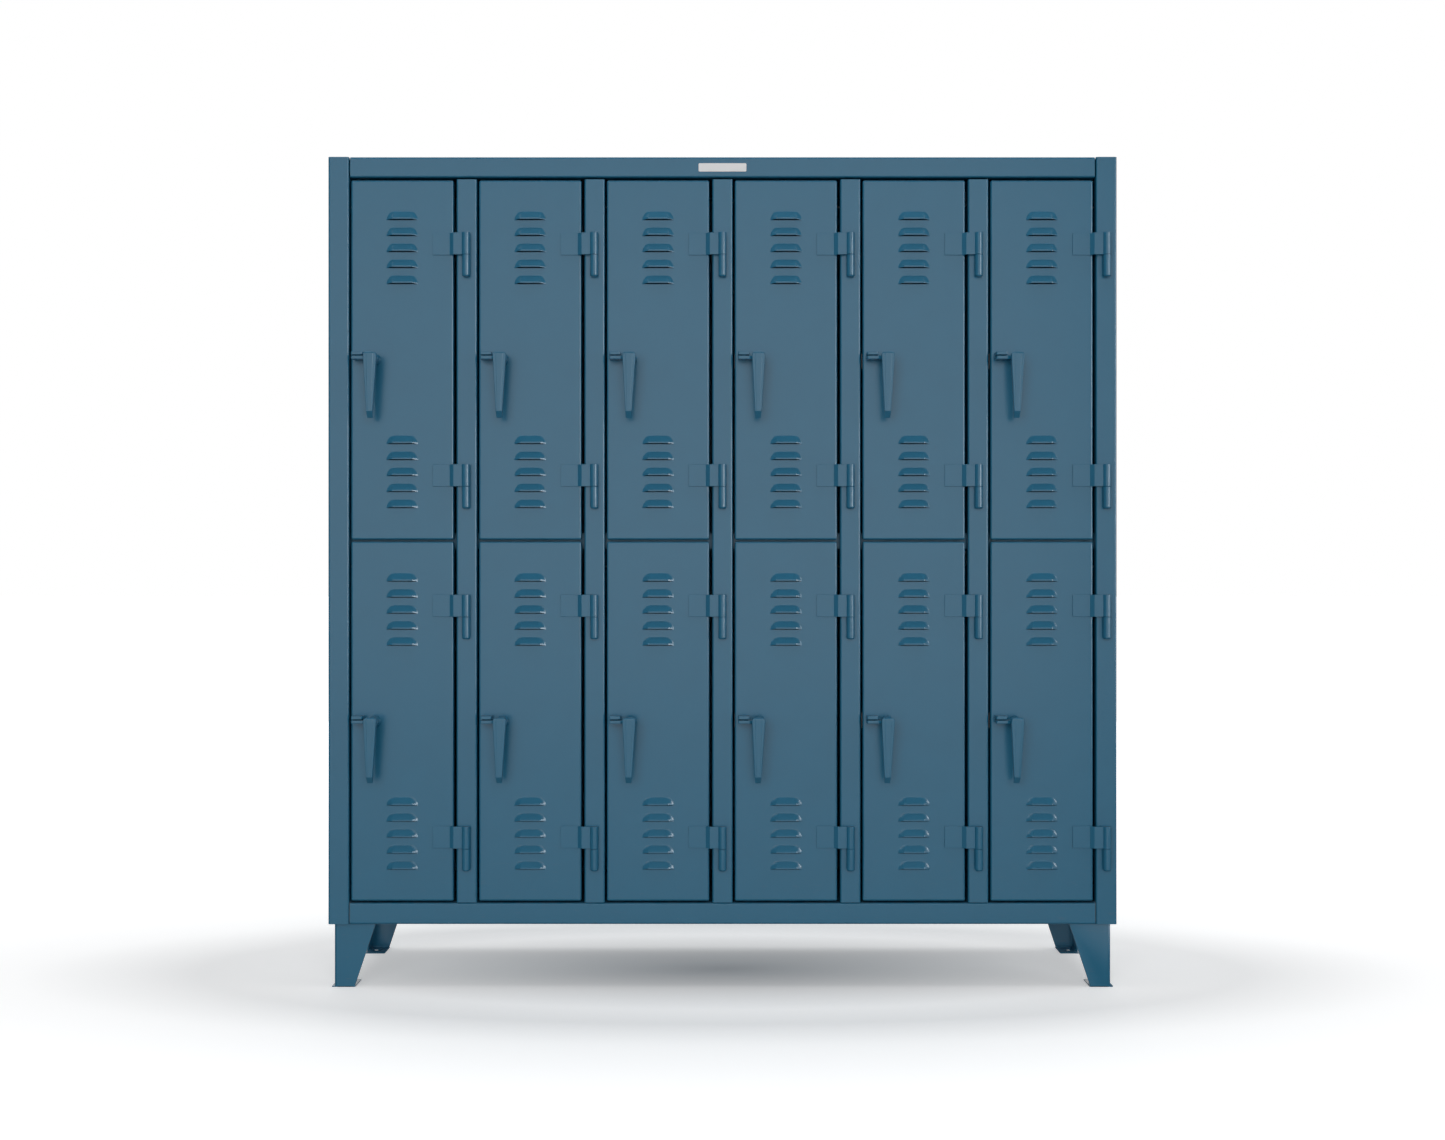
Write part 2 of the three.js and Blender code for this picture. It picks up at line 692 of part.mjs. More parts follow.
const locker = new THREE.Group();
locker.add(cabinet);

export default locker;
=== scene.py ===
"""A double-tier school locker in painted sheet steel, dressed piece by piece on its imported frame."""

import json
import logging
import math
from collections.abc import Iterable, Sequence
from dataclasses import dataclass, field
from enum import Enum
from typing import Any

import bmesh
import bpy
from mathutils import Matrix, Vector


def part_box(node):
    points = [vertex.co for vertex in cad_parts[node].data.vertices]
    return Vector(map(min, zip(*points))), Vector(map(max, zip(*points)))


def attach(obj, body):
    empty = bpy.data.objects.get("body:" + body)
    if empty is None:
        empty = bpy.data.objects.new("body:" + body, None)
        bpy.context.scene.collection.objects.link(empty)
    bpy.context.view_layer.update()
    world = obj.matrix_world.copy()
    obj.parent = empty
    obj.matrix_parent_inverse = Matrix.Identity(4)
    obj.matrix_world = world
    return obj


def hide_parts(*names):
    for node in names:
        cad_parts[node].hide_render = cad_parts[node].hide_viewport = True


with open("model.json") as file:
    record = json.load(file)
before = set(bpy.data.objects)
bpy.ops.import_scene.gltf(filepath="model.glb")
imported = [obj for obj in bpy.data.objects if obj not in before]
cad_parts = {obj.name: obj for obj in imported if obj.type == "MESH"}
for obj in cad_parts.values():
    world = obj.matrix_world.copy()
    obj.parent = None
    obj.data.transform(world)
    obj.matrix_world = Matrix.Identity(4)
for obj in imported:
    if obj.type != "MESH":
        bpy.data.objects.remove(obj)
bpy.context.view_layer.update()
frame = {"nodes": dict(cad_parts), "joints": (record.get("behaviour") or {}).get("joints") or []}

MM = 0.001
JOINT_PLACES = {joint["name"]: Vector(joint["pos_m"]) for joint in frame["joints"]}
COLUMNS = sum(1 for node in frame["nodes"] if node.startswith("door_lower_"))
FACE_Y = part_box("header_rail")[0].y
CABINET = "cabinet"
log = logging.getLogger("locker")


class Axis(Enum):
    """The direction that an outline is drawn out along, with the axes of its two coordinates."""

    X = (0, 1, 2)
    Y = (1, 0, 2)
    Z = (2, 0, 1)


class Tier(Enum):
    """A row of compartments, named as its nodes are."""

    LOWER = "lower"
    UPPER = "upper"


class Side(Enum):
    """A side of the cabinet, as the sign of its x."""

    LEFT = -1
    RIGHT = 1


class Slot(Enum):
    """The material slots of the locker."""

    FRAME = "frame_paint"
    PANEL = "panel_paint"
    CAST = "cast_paint"
    ZINC = "zinc"
    PLATE = "blank_plate"


# ---------------------------------------------------------------- shapes


@dataclass
class Shape:
    """One or more closed surfaces, as points and faces."""

    points: list[Vector] = field(default_factory=list)
    faces: list[tuple[int, ...]] = field(default_factory=list)

    def moved(self, offset: Sequence[float]) -> "Shape":
        """Return a copy moved by an offset."""
        step = Vector(offset)
        return Shape([point + step for point in self.points], list(self.faces))

    def with_shapes(self, others: Iterable["Shape"]) -> "Shape":
        """Return this shape and others as one list of points and faces.

        Args:
            others: The shapes to add; they may touch this one but share no points with it.

        Returns:
            The combined shape.
        """
        points, faces = list(self.points), list(self.faces)
        for other in others:
            start = len(points)
            points += other.points
            faces += [tuple(index + start for index in face) for face in other.faces]
        return Shape(points, faces)

    def mesh(self, name: str = "shape") -> bpy.types.Mesh:
        """Build the mesh, with every closed surface facing outwards.

        Args:
            name: The mesh's name.

        Returns:
            The new mesh.
        """
        made = bpy.data.meshes.new(name)
        made.from_pydata([tuple(point) for point in self.points], [], self.faces)
        return facing_out(made)


def facing_out(mesh: bpy.types.Mesh, merge: float = 1e-7) -> bpy.types.Mesh:
    """Merge a mesh's doubles and turn its faces outwards.

    Args:
        mesh: The mesh to change.
        merge: The distance within which points are one.

    Returns:
        The same mesh.
    """
    work = bmesh.new()
    work.from_mesh(mesh)
    bmesh.ops.remove_doubles(work, verts=work.verts, dist=merge)
    bmesh.ops.recalc_face_normals(work, faces=work.faces)
    work.to_mesh(mesh)
    work.free()
    return mesh


def rounded(corners: Sequence[Sequence[float]], steps: int = 5) -> list[tuple[float, float]]:
    """Round the corners of an outline.

    Args:
        corners: The outline's corners as (u, v) or (u, v, radius), in order.
        steps: How many edges each rounded corner takes.

    Returns:
        The outline's points, with an arc at each corner that has a radius.
    """
    outline: list[tuple[float, float]] = []
    for index, corner in enumerate(corners):
        here = Vector(corner[:2])
        radius = corner[2] if len(corner) > 2 else 0.0
        if radius <= 0:
            outline.append(tuple(here))
            continue
        before = (Vector(corners[index - 1][:2]) - here).normalized()
        after = (Vector(corners[(index + 1) % len(corners)][:2]) - here).normalized()
        half = before.angle(after) / 2
        centre = here + (before + after).normalized() * radius / math.sin(half)
        start = here + before * radius / math.tan(half) - centre
        end = here + after * radius / math.tan(half) - centre
        sweep = start.angle_signed(end)
        for step in range(steps + 1):
            turned = Matrix.Rotation(-sweep * step / steps, 2) @ start
            outline.append(tuple(centre + turned))
    return outline


def prism(outline: Sequence[Sequence[float]], axis: Axis, low: float, high: float) -> Shape:
    """Draw an outline out into a closed solid.

    Args:
        outline: The outline's points, in the axis's two cross directions.
        axis: The direction to draw it out along.
        low: Where the solid starts on that axis.
        high: Where it ends.

    Returns:
        The solid.
    """
    along, across, up = axis.value
    points = []
    for level in (low, high):
        for u, v in outline:
            point = Vector((0, 0, 0))
            point[along], point[across], point[up] = level, u, v
            points.append(point)
    return Shape(points, ring_faces(len(outline), 2))


def ring_faces(count: int, rings: int) -> list[tuple[int, ...]]:
    """List the faces that join rings of points and close both ends.

    Args:
        count: The points in each ring.
        rings: How many rings follow each other.

    Returns:
        The faces, as point numbers.
    """
    faces: list[tuple[int, ...]] = [tuple(range(count)), tuple(range((rings - 1) * count, rings * count))]
    for ring in range(rings - 1):
        for index in range(count):
            following = (index + 1) % count
            low, high = ring * count, (ring + 1) * count
            faces.append((low + index, low + following, high + following, high + index))
    return faces


def loft(rings: Sequence[Sequence[Vector]]) -> Shape:
    """Join rings of equally many points into one closed solid."""
    return Shape([point for ring in rings for point in ring], ring_faces(len(rings[0]), len(rings)))


def turned(profile: Sequence[tuple[float, float]], axis: Axis, sides: int = 40) -> Shape:
    """Turn a profile about an axis through the origin.

    Args:
        profile: Points (radius, distance along the axis), none of them on the axis.
        axis: The axis to turn about.
        sides: How many sides the round has.

    Returns:
        The closed solid, with flat ends at the first and the last point.
    """
    along, across, up = axis.value
    rings = []
    for radius, height in profile:
        ring = []
        for side in range(sides):
            angle = math.tau * side / sides
            point = Vector((0, 0, 0))
            point[along] = height
            point[across] = radius * math.cos(angle)
            point[up] = radius * math.sin(angle)
            ring.append(point)
        rings.append(ring)
    return loft(rings)


def rectangle(low: Sequence[float], high: Sequence[float], radius: float = 0.0) -> list[tuple[float, float]]:
    """Return a rectangle's outline between two corners, rounded if a radius is given."""
    corners = [(low[0], low[1]), (high[0], low[1]), (high[0], high[1]), (low[0], high[1])]
    return rounded([(*corner, radius) for corner in corners])


# ---------------------------------------------------------------- shaping


@dataclass(frozen=True)
class Step:
    """One modifier and its settings, applied to a mesh in the making."""

    kind: str
    settings: dict[str, Any]


def softened(width: float, segments: int = 2, angle: float = 40) -> Step:
    """Return the step that rounds every edge sharper than an angle in degrees."""
    settings = {
        "width": width,
        "segments": segments,
        "limit_method": "ANGLE",
        "angle_limit": math.radians(angle),
        "use_clamp_overlap": True,
    }
    return Step("BEVEL", settings)


EVEN_SHADING = Step("WEIGHTED_NORMAL", {"weight": 100, "keep_sharp": True, "mode": "FACE_AREA"})


def worked(mesh: bpy.types.Mesh, *steps: Step, crease: float = 38) -> bpy.types.Mesh:
    """Apply modifiers to a mesh and shade it smooth up to a crease angle.

    Args:
        mesh: The mesh to work on.
        steps: The modifiers, in order; even shading is added last.
        crease: Edges sharper than this many degrees stay sharp.

    Returns:
        The finished mesh.
    """
    shaped = mesh
    if steps:
        shaped = evaluated(mesh, steps)
    shaped.shade_smooth()
    shaped.set_sharp_from_angle(angle=math.radians(crease))
    return evaluated(shaped, [EVEN_SHADING])


def evaluated(mesh: bpy.types.Mesh, steps: Iterable[Step]) -> bpy.types.Mesh:
    """Return a plain mesh with the given modifiers applied."""
    holder = bpy.data.objects.new("work", mesh)
    bpy.context.scene.collection.objects.link(holder)
    for step in steps:
        modifier = holder.modifiers.new(step.kind.lower(), step.kind)
        for setting, value in step.settings.items():
            setattr(modifier, setting, value)
    return baked(holder)


def baked(holder: bpy.types.Object) -> bpy.types.Mesh:
    """Turn an object's evaluated form into a plain mesh and remove the object."""
    bpy.context.view_layer.update()
    graph = bpy.context.evaluated_depsgraph_get()
    made = bpy.data.meshes.new_from_object(holder.evaluated_get(graph), depsgraph=graph)
    bpy.data.objects.remove(holder)
    return made


def without(mesh: bpy.types.Mesh, cutter: Shape) -> bpy.types.Mesh:
    """Cut a shape out of a mesh."""
    tool = bpy.data.objects.new("cutter", cutter.mesh("cutter"))
    bpy.context.scene.collection.objects.link(tool)
    made = evaluated(mesh, [Step("BOOLEAN", {"operation": "DIFFERENCE", "solver": "EXACT", "object": tool})])
    bpy.data.objects.remove(tool)
    return made


def copy_at(mesh: bpy.types.Mesh, offset: Sequence[float]) -> bpy.types.Mesh:
    """Return a copy of a mesh moved by an offset."""
    made = mesh.copy()
    made.transform(Matrix.Translation(Vector(offset)))
    return made


def combined(meshes: Sequence[bpy.types.Mesh]) -> bpy.types.Mesh:
    """Join meshes into one, keeping each one's shading."""
    holders = [bpy.data.objects.new("part", mesh) for mesh in meshes]
    for holder in holders:
        bpy.context.scene.collection.objects.link(holder)
    with bpy.context.temp_override(active_object=holders[0], selected_editable_objects=holders):
        bpy.ops.object.join()
    made = holders[0].data
    bpy.data.objects.remove(holders[0])
    return made


# ---------------------------------------------------------------- growing repeats


class GrowthTree:
    """A geometry node tree with named inputs that ends in Realize Instances and Set Material."""

    def __init__(self, name: str, inputs: dict[str, tuple[str, Any]]) -> None:
        """Start the tree.

        Args:
            name: The tree's name.
            inputs: Each input's name, with its socket type and its default value.
        """
        self.tree = bpy.data.node_groups.new(name, "GeometryNodeTree")
        face = self.tree.interface
        face.new_socket(name="Geometry", in_out="INPUT", socket_type="NodeSocketGeometry")
        self.identifiers: dict[str, str] = {}
        for label, (kind, default) in {**inputs, "Material": ("NodeSocketMaterial", None)}.items():
            socket = face.new_socket(name=label, in_out="INPUT", socket_type=kind)
            if default is not None:
                socket.default_value = default
            self.identifiers[label] = socket.identifier
        face.new_socket(name="Geometry", in_out="OUTPUT", socket_type="NodeSocketGeometry")
        self.given = self.tree.nodes.new("NodeGroupInput").outputs

    def node(self, kind: str, links: dict[str, Any], **settings: Any) -> bpy.types.Node:
        """Add a node.

        Args:
            kind: The node's type name.
            links: For each input's name, the socket or the value that feeds it.
            settings: Properties of the node itself.

        Returns:
            The new node.
        """
        made = self.tree.nodes.new(kind)
        for setting, value in settings.items():
            setattr(made, setting, value)
        for label, source in links.items():
            if isinstance(source, bpy.types.NodeSocket):
                self.tree.links.new(source, made.inputs[label])
            else:
                made.inputs[label].default_value = source
        return made

    def close(self, geometry: bpy.types.NodeSocket) -> "GrowthTree":
        """Realize the result, give it the material and connect it to the output."""
        real = self.node("GeometryNodeRealizeInstances", {"Geometry": geometry})
        links = {"Geometry": real.outputs[0], "Material": self.given["Material"]}
        dressed = self.node("GeometryNodeSetMaterial", links)
        ending = self.tree.nodes.new("NodeGroupOutput")
        self.tree.links.new(dressed.outputs[0], ending.inputs[0])
        return self

    def grow(self, seed: bpy.types.Mesh, **values: Any) -> bpy.types.Mesh:
        """Run the tree on a mesh.

        Args:
            seed: The mesh that the tree starts from.
            values: The inputs to set, by name with underscores for spaces.

        Returns:
            The grown mesh.
        """
        holder = bpy.data.objects.new("growth", seed)
        bpy.context.scene.collection.objects.link(holder)
        modifier = holder.modifiers.new("growth", "NODES")
        modifier.node_group = self.tree
        for label, value in values.items():
            modifier[self.identifiers[label.replace("_", " ")]] = value
        holder.update_tag()
        return baked(holder)


def repeat_tree() -> GrowthTree:
    """Build the tree that sets copies of a tile end to end and merges their shared edges."""
    inputs = {
        "Count": ("NodeSocketInt", 5),
        "Step": ("NodeSocketVector", (0, 0, 0.0381)),
        "Merge Distance": ("NodeSocketFloat", 1e-5),
    }
    draft = GrowthTree("louvre_bank", inputs)
    links = {"Count": draft.given["Count"], "Offset": draft.given["Step"]}
    line = draft.node("GeometryNodeMeshLine", links, mode="OFFSET")
    links = {"Points": line.outputs[0], "Instance": draft.given["Geometry"]}
    tiles = draft.node("GeometryNodeInstanceOnPoints", links)
    real = draft.node("GeometryNodeRealizeInstances", {"Geometry": tiles.outputs[0]})
    links = {"Geometry": real.outputs[0], "Distance": draft.given["Merge Distance"]}
    return draft.close(draft.node("GeometryNodeMergeByDistance", links).outputs[0])


def scatter_tree() -> GrowthTree:
    """Build the tree that sets a copy of one piece on every point of a mesh."""
    draft = GrowthTree("set_on_points", {"Piece": ("NodeSocketObject", None)})
    piece = draft.node("GeometryNodeObjectInfo", {"Object": draft.given["Piece"]})
    links = {"Points": draft.given["Geometry"], "Instance": piece.outputs["Geometry"]}
    return draft.close(draft.node("GeometryNodeInstanceOnPoints", links).outputs[0])


def wire_tree() -> GrowthTree:
    """Build the tree that draws a round wire with filleted bends along a path of edges."""
    inputs = {
        "Radius": ("NodeSocketFloat", 0.002),
        "Bend Radius": ("NodeSocketFloat", 0.006),
        "Sides": ("NodeSocketInt", 12),
    }
    draft = GrowthTree("bent_wire", inputs)
    path = draft.node("GeometryNodeMeshToCurve", {"Mesh": draft.given["Geometry"]})
    links = {"Curve": path.outputs[0], "Radius": draft.given["Bend Radius"], "Limit Radius": True, "Count": 6}
    bends = draft.node("GeometryNodeFilletCurve", links, mode="POLY")
    links = {"Resolution": draft.given["Sides"], "Radius": draft.given["Radius"]}
    section = draft.node("GeometryNodeCurvePrimitiveCircle", links)
    links = {"Curve": bends.outputs[0], "Profile Curve": section.outputs[0], "Fill Caps": True}
    return draft.close(draft.node("GeometryNodeCurveToMesh", links).outputs[0])


def bead_tree() -> GrowthTree:
    """Build the tree that lays a rippled weld bead along a path of edges."""
    inputs = {
        "Radius": ("NodeSocketFloat", 0.0025),
        "Ripple": ("NodeSocketFloat", 0.25),
        "Spacing": ("NodeSocketFloat", 0.0012),
        "Seed": ("NodeSocketInt", 4),
    }
    draft = GrowthTree("weld_bead", inputs)
    path = draft.node("GeometryNodeMeshToCurve", {"Mesh": draft.given["Geometry"]})
    links = {"Curve": path.outputs[0], "Length": draft.given["Spacing"]}
    even = draft.node("GeometryNodeResampleCurve", links, mode="LENGTH")
    chance = draft.node("FunctionNodeRandomValue", {"Seed": draft.given["Seed"]}, data_type="FLOAT")
    swell = draft.node("ShaderNodeMath", {}, operation="MULTIPLY_ADD")
    draft.tree.links.new(chance.outputs[1], swell.inputs[0])
    draft.tree.links.new(draft.given["Ripple"], swell.inputs[1])
    swell.inputs[2].default_value = 1.0
    links = {"Curve": even.outputs[0], "Radius": swell.outputs[0]}
    uneven = draft.node("GeometryNodeSetCurveRadius", links)
    section = draft.node("GeometryNodeCurvePrimitiveCircle", {"Resolution": 8, "Radius": draft.given["Radius"]})
    links = {"Curve": uneven.outputs[0], "Profile Curve": section.outputs[0], "Fill Caps": True}
    sweep = draft.node("GeometryNodeCurveToMesh", links)
    if "Scale" in sweep.inputs:
        radius = draft.node("GeometryNodeInputRadius", {})
        draft.tree.links.new(radius.outputs[0], sweep.inputs["Scale"])
    return draft.close(sweep.outputs[0])


def path_mesh(paths: Iterable[Sequence[Sequence[float]]]) -> bpy.types.Mesh:
    """Build a mesh of open chains of edges, one for each list of points."""
    points: list[tuple[float, ...]] = []
    edges = []
    for path in paths:
        start = len(points)
        points += [tuple(point) for point in path]
        edges += [(start + index, start + index + 1) for index in range(len(path) - 1)]
    made = bpy.data.meshes.new("paths")
    made.from_pydata(points, edges, [])
    return made


# ---------------------------------------------------------------- shader groups


class EffectGroup:
    """A shader node group with named inputs and outputs, placed in several materials."""

    def __init__(self, name: str, inputs: dict[str, float], outputs: dict[str, str]) -> None:
        """Start the group.

        Args:
            name: The group's name.
            inputs: Each number that it takes, with its default.
            outputs: Each output's name, with its socket type.
        """
        self.tree = bpy.data.node_groups.new(name, "ShaderNodeTree")
        for label, default in inputs.items():
            socket = self.tree.interface.new_socket(name=label, in_out="INPUT", socket_type="NodeSocketFloat")
            socket.default_value = default
        for label, kind in outputs.items():
            self.tree.interface.new_socket(name=label, in_out="OUTPUT", socket_type=kind)
        self.given = self.tree.nodes.new("NodeGroupInput").outputs
        self.ending = self.tree.nodes.new("NodeGroupOutput").inputs

    def node(self, kind: str, links: dict[Any, Any], **settings: Any) -> bpy.types.Node:
        """Add a node to the group; see wire()."""
        return wire(self.tree, kind, links, **settings)

    def noise(self, scale: Any, detail: float, stretch: Sequence[float] = (1, 1, 1)) -> bpy.types.NodeSocket:
        """Add noise over object coordinates.

        Args:
            scale: Its scale, as a number or a socket.
            detail: Its detail.
            stretch: How the coordinates are scaled first.

        Returns:
            The noise's value.
        """
        place = self.node("ShaderNodeTexCoord", {}).outputs["Object"]
        mapping = self.node("ShaderNodeMapping", {"Vector": place, "Scale": stretch})
        links = {"Vector": mapping.outputs[0], "Scale": scale, "Detail": detail}
        return self.node("ShaderNodeTexNoise", links).outputs[0]

    def end(self, label: str, source: bpy.types.NodeSocket) -> None:
        """Connect a value to one of the group's outputs."""
        self.tree.links.new(source, self.ending[label])


def wire(tree: bpy.types.NodeTree, kind: str, links: dict[Any, Any], **settings: Any) -> bpy.types.Node:
    """Add a shader node to a tree.

    Args:
        tree: The tree.
        kind: The node's type name.
        links: For each input's name or number, the socket or the value that feeds it.
        settings: Properties of the node itself.

    Returns:
        The new node.
    """
    made = tree.nodes.new(kind)
    for setting, value in settings.items():
        setattr(made, setting, value)
    for label, source in links.items():
        if isinstance(source, bpy.types.NodeSocket):
            tree.links.new(source, made.inputs[label])
        else:
            made.inputs[label].default_value = source
    return made


def paint_skin_group() -> EffectGroup:
    """Build the fine orange peel of sprayed enamel, with the slight mottle in its gloss and tone."""
    inputs = {"Peel Scale": 420.0, "Mottle Scale": 14.0, "Roughness": 0.4, "Roughness Spread": 0.08}
    outputs = {"Height": "NodeSocketFloat", "Roughness": "NodeSocketFloat", "Mottle": "NodeSocketFloat"}
    group = EffectGroup("paint_skin", inputs, outputs)
    group.end("Height", group.noise(group.given["Peel Scale"], 2.0))
    mottle = group.noise(group.given["Mottle Scale"], 5.0)
    group.end("Mottle", mottle)
    centred = group.node("ShaderNodeMath", {0: mottle, 1: 0.5}, operation="SUBTRACT").outputs[0]
    links = {0: centred, 1: group.given["Roughness Spread"], 2: group.given["Roughness"]}
    group.end("Roughness", group.node("ShaderNodeMath", links, operation="MULTIPLY_ADD").outputs[0])
    return group


def dust_group() -> EffectGroup:
    """Build the mask of dust that settles on faces that look upwards."""
    group = EffectGroup("settled_dust", {"Amount": 0.4, "Scale": 30.0}, {"Mask": "NodeSocketFloat"})
    facing = group.node("ShaderNodeNewGeometry", {}).outputs["Normal"]
    up = group.node("ShaderNodeSeparateXYZ", {0: facing}).outputs["Z"]
    level = group.node("ShaderNodeMapRange", {"Value": up, "From Min": 0.6, "From Max": 1.0}).outputs[0]
    uneven = group.noise(group.given["Scale"], 4.0)
    patchy = group.node("ShaderNodeMapRange", {"Value": uneven, "From Min": 0.3, "From Max": 0.75}).outputs[0]
    both = group.node("ShaderNodeMath", {0: level, 1: patchy}, operation="MULTIPLY").outputs[0]
    links = {0: both, 1: group.given["Amount"]}
    group.end("Mask", group.node("ShaderNodeMath", links, operation="MULTIPLY").outputs[0])
    return group


def scuff_group() -> EffectGroup:
    """Build the mask of faint scuffs, which gather low down where shoes and mops reach."""
    group = EffectGroup("low_scuffs", {"Amount": 0.3, "Reach": 0.45}, {"Mask": "NodeSocketFloat"})
    place = group.node("ShaderNodeTexCoord", {}).outputs["Object"]
    height = group.node("ShaderNodeSeparateXYZ", {0: place}).outputs["Z"]
    links = {"Value": height, "From Min": 0.0, "From Max": group.given["Reach"], "To Min": 1.0, "To Max": 0.0}
    low = group.node("ShaderNodeMapRange", links).outputs[0]
    streaks = group.noise(34.0, 6.0, (1, 1, 5))
    links = {"Value": streaks, "From Min": 0.62, "From Max": 0.72}
    sparse = group.node("ShaderNodeMapRange", links).outputs[0]
    both = group.node("ShaderNodeMath", {0: low, 1: sparse}, operation="MULTIPLY").outputs[0]
    links = {0: both, 1: group.given["Amount"]}
    group.end("Mask", group.node("ShaderNodeMath", links, operation="MULTIPLY").outputs[0])
    return group


@dataclass(frozen=True)
class Effects:
    """The shader groups that the finishes share."""

    skin: EffectGroup
    dust: EffectGroup
    scuffs: EffectGroup


Colour = tuple[float, float, float]


@dataclass(frozen=True)
class Finish:
    """A painted or plated finish and how uneven it is."""

    name: str
    slot: Slot
    colour: Colour
    mottle: float = 0.05
    roughness: float = 0.24
    roughness_spread: float = 0.05
    metallic: float = 0.0
    peel_scale: float = 420.0
    peel_height: float = 0.05 * MM
    peel_strength: float = 0.25
    dust: float = 0.25
    dust_colour: Colour = (0.32, 0.34, 0.35)
    scuffs: float = 0.2
    scuff_colour: Colour = (0.10, 0.15, 0.18)

    def material(self, effects: Effects) -> bpy.types.Material:
        """Build the finish's material.

        Args:
            effects: The shader groups to place in it.

        Returns:
            The new material.
        """
        made = bpy.data.materials.new(self.name)
        made.use_nodes = True
        tree = made.node_tree
        shader = tree.nodes["Principled BSDF"]
        shader.inputs["Metallic"].default_value = self.metallic
        skin = tree.nodes.new("ShaderNodeGroup")
        skin.node_tree = effects.skin.tree
        skin.inputs["Peel Scale"].default_value = self.peel_scale
        skin.inputs["Roughness"].default_value = self.roughness
        skin.inputs["Roughness Spread"].default_value = self.roughness_spread
        dark = tuple(value * (1 - self.mottle) for value in self.colour)
        light = tuple(value * (1 + self.mottle) for value in self.colour)
        base = self.blend(tree, skin.outputs["Mottle"], dark, light)
        for group, amount, colour in (
            (effects.scuffs, self.scuffs, self.scuff_colour),
            (effects.dust, self.dust, self.dust_colour),
        ):
            mask = tree.nodes.new("ShaderNodeGroup")
            mask.node_tree = group.tree
            mask.inputs["Amount"].default_value = amount
            base = self.blend(tree, mask.outputs["Mask"], base, colour)
        tree.links.new(base, shader.inputs["Base Color"])
        tree.links.new(skin.outputs["Roughness"], shader.inputs["Roughness"])
        links = {
            "Height": skin.outputs["Height"],
            "Distance": self.peel_height,
            "Strength": self.peel_strength,
        }
        bump = wire(tree, "ShaderNodeBump", links)
        tree.links.new(bump.outputs["Normal"], shader.inputs["Normal"])
        return made

    @staticmethod
    def blend(
        tree: bpy.types.NodeTree, mask: bpy.types.NodeSocket, low: Any, high: Any
    ) -> bpy.types.NodeSocket:
        """Mix two colours by a mask.

        Args:
            tree: The material's tree.
            mask: The mask, from 0 for the first colour to 1 for the second.
            low: The first colour, as numbers or a socket.
            high: The second colour, as numbers or a socket.

        Returns:
            The mixed colour.
        """
        mix = tree.nodes.new("ShaderNodeMix")
        mix.data_type = "RGBA"
        tree.links.new(mask, mix.inputs["Factor"])
        for socket, value in ((mix.inputs[6], low), (mix.inputs[7], high)):
            if isinstance(value, bpy.types.NodeSocket):
                tree.links.new(value, socket)
            else:
                socket.default_value = (*value, 1.0)
        return mix.outputs[2]


ENAMEL = (0.0176, 0.154, 0.272)
FRAME_ENAMEL = Finish("frame_enamel", Slot.FRAME, ENAMEL)
PANEL_ENAMEL = Finish("panel_enamel", Slot.PANEL, ENAMEL, roughness=0.34, mottle=0.07)
CAST_ENAMEL = Finish("cast_enamel", Slot.CAST, ENAMEL, roughness=0.24, peel_scale=260, peel_height=0.09 * MM)
ZINC_PLATE = Finish(
    "zinc_plate", Slot.ZINC, (0.34, 0.35, 0.36), metallic=1.0, mottle=0.15, roughness=0.42, peel_scale=900
)
BLANK_PLATE = Finish("plate_enamel", Slot.PLATE, (0.9, 0.91, 0.92), mottle=0.02, dust=0.0, scuffs=0.0)


class Workshop:
    """Holds what every sub-assembly needs: the finishes' materials and the growth trees."""

    def __init__(self) -> None:
        """Build the shader groups, the materials and the geometry node trees."""
        effects = Effects(paint_skin_group(), dust_group(), scuff_group())
        finishes = (FRAME_ENAMEL, PANEL_ENAMEL, CAST_ENAMEL, ZINC_PLATE, BLANK_PLATE)
        self.materials = {finish.name: finish.material(effects) for finish in finishes}
        self.repeat = repeat_tree()
        self.scatter = scatter_tree()
        self.wires = wire_tree()
        self.beads = bead_tree()

    def set_on(
        self, piece: bpy.types.Mesh, places: Sequence[Sequence[float]], finish: Finish
    ) -> bpy.types.Mesh:
        """Set a copy of a small piece at every place.

        Args:
            piece: The piece, around the origin.
            places: Where the copies go.
            finish: The finish that they get.

        Returns:
            All the copies as one mesh.
        """
        holder = bpy.data.objects.new("piece", piece)
        bpy.context.scene.collection.objects.link(holder)
        points = bpy.data.meshes.new("places")
        points.from_pydata([tuple(place) for place in places], [], [])
        grown = self.scatter.grow(points, Piece=holder, Material=self.materials[finish.name])
        bpy.data.objects.remove(holder)
        return grown

    def fit(
        self, name: str, mesh: bpy.types.Mesh, finish: Finish, body: str = CABINET, nodes: Sequence[str] = ()
    ) -> bpy.types.Object:
        """Make a finished mesh a piece of the locker.

        Args:
            name: The piece's name.
            mesh: Its mesh, in place.
            finish: Its finish.
            body: The body that it moves with.
            nodes: The frame's nodes that it stands for.

        Returns:
            The new object.
        """
        mesh.name = name
        mesh.materials.clear()
        mesh.materials.append(self.materials[finish.name])
        piece = bpy.data.objects.new(name, mesh)
        bpy.context.scene.collection.objects.link(piece)
        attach(piece, body)
        if nodes:
            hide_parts(*nodes)
        log.info("%s: %d faces on %s", name, len(mesh.polygons), body)
        return piece


# ---------------------------------------------------------------- cabinet


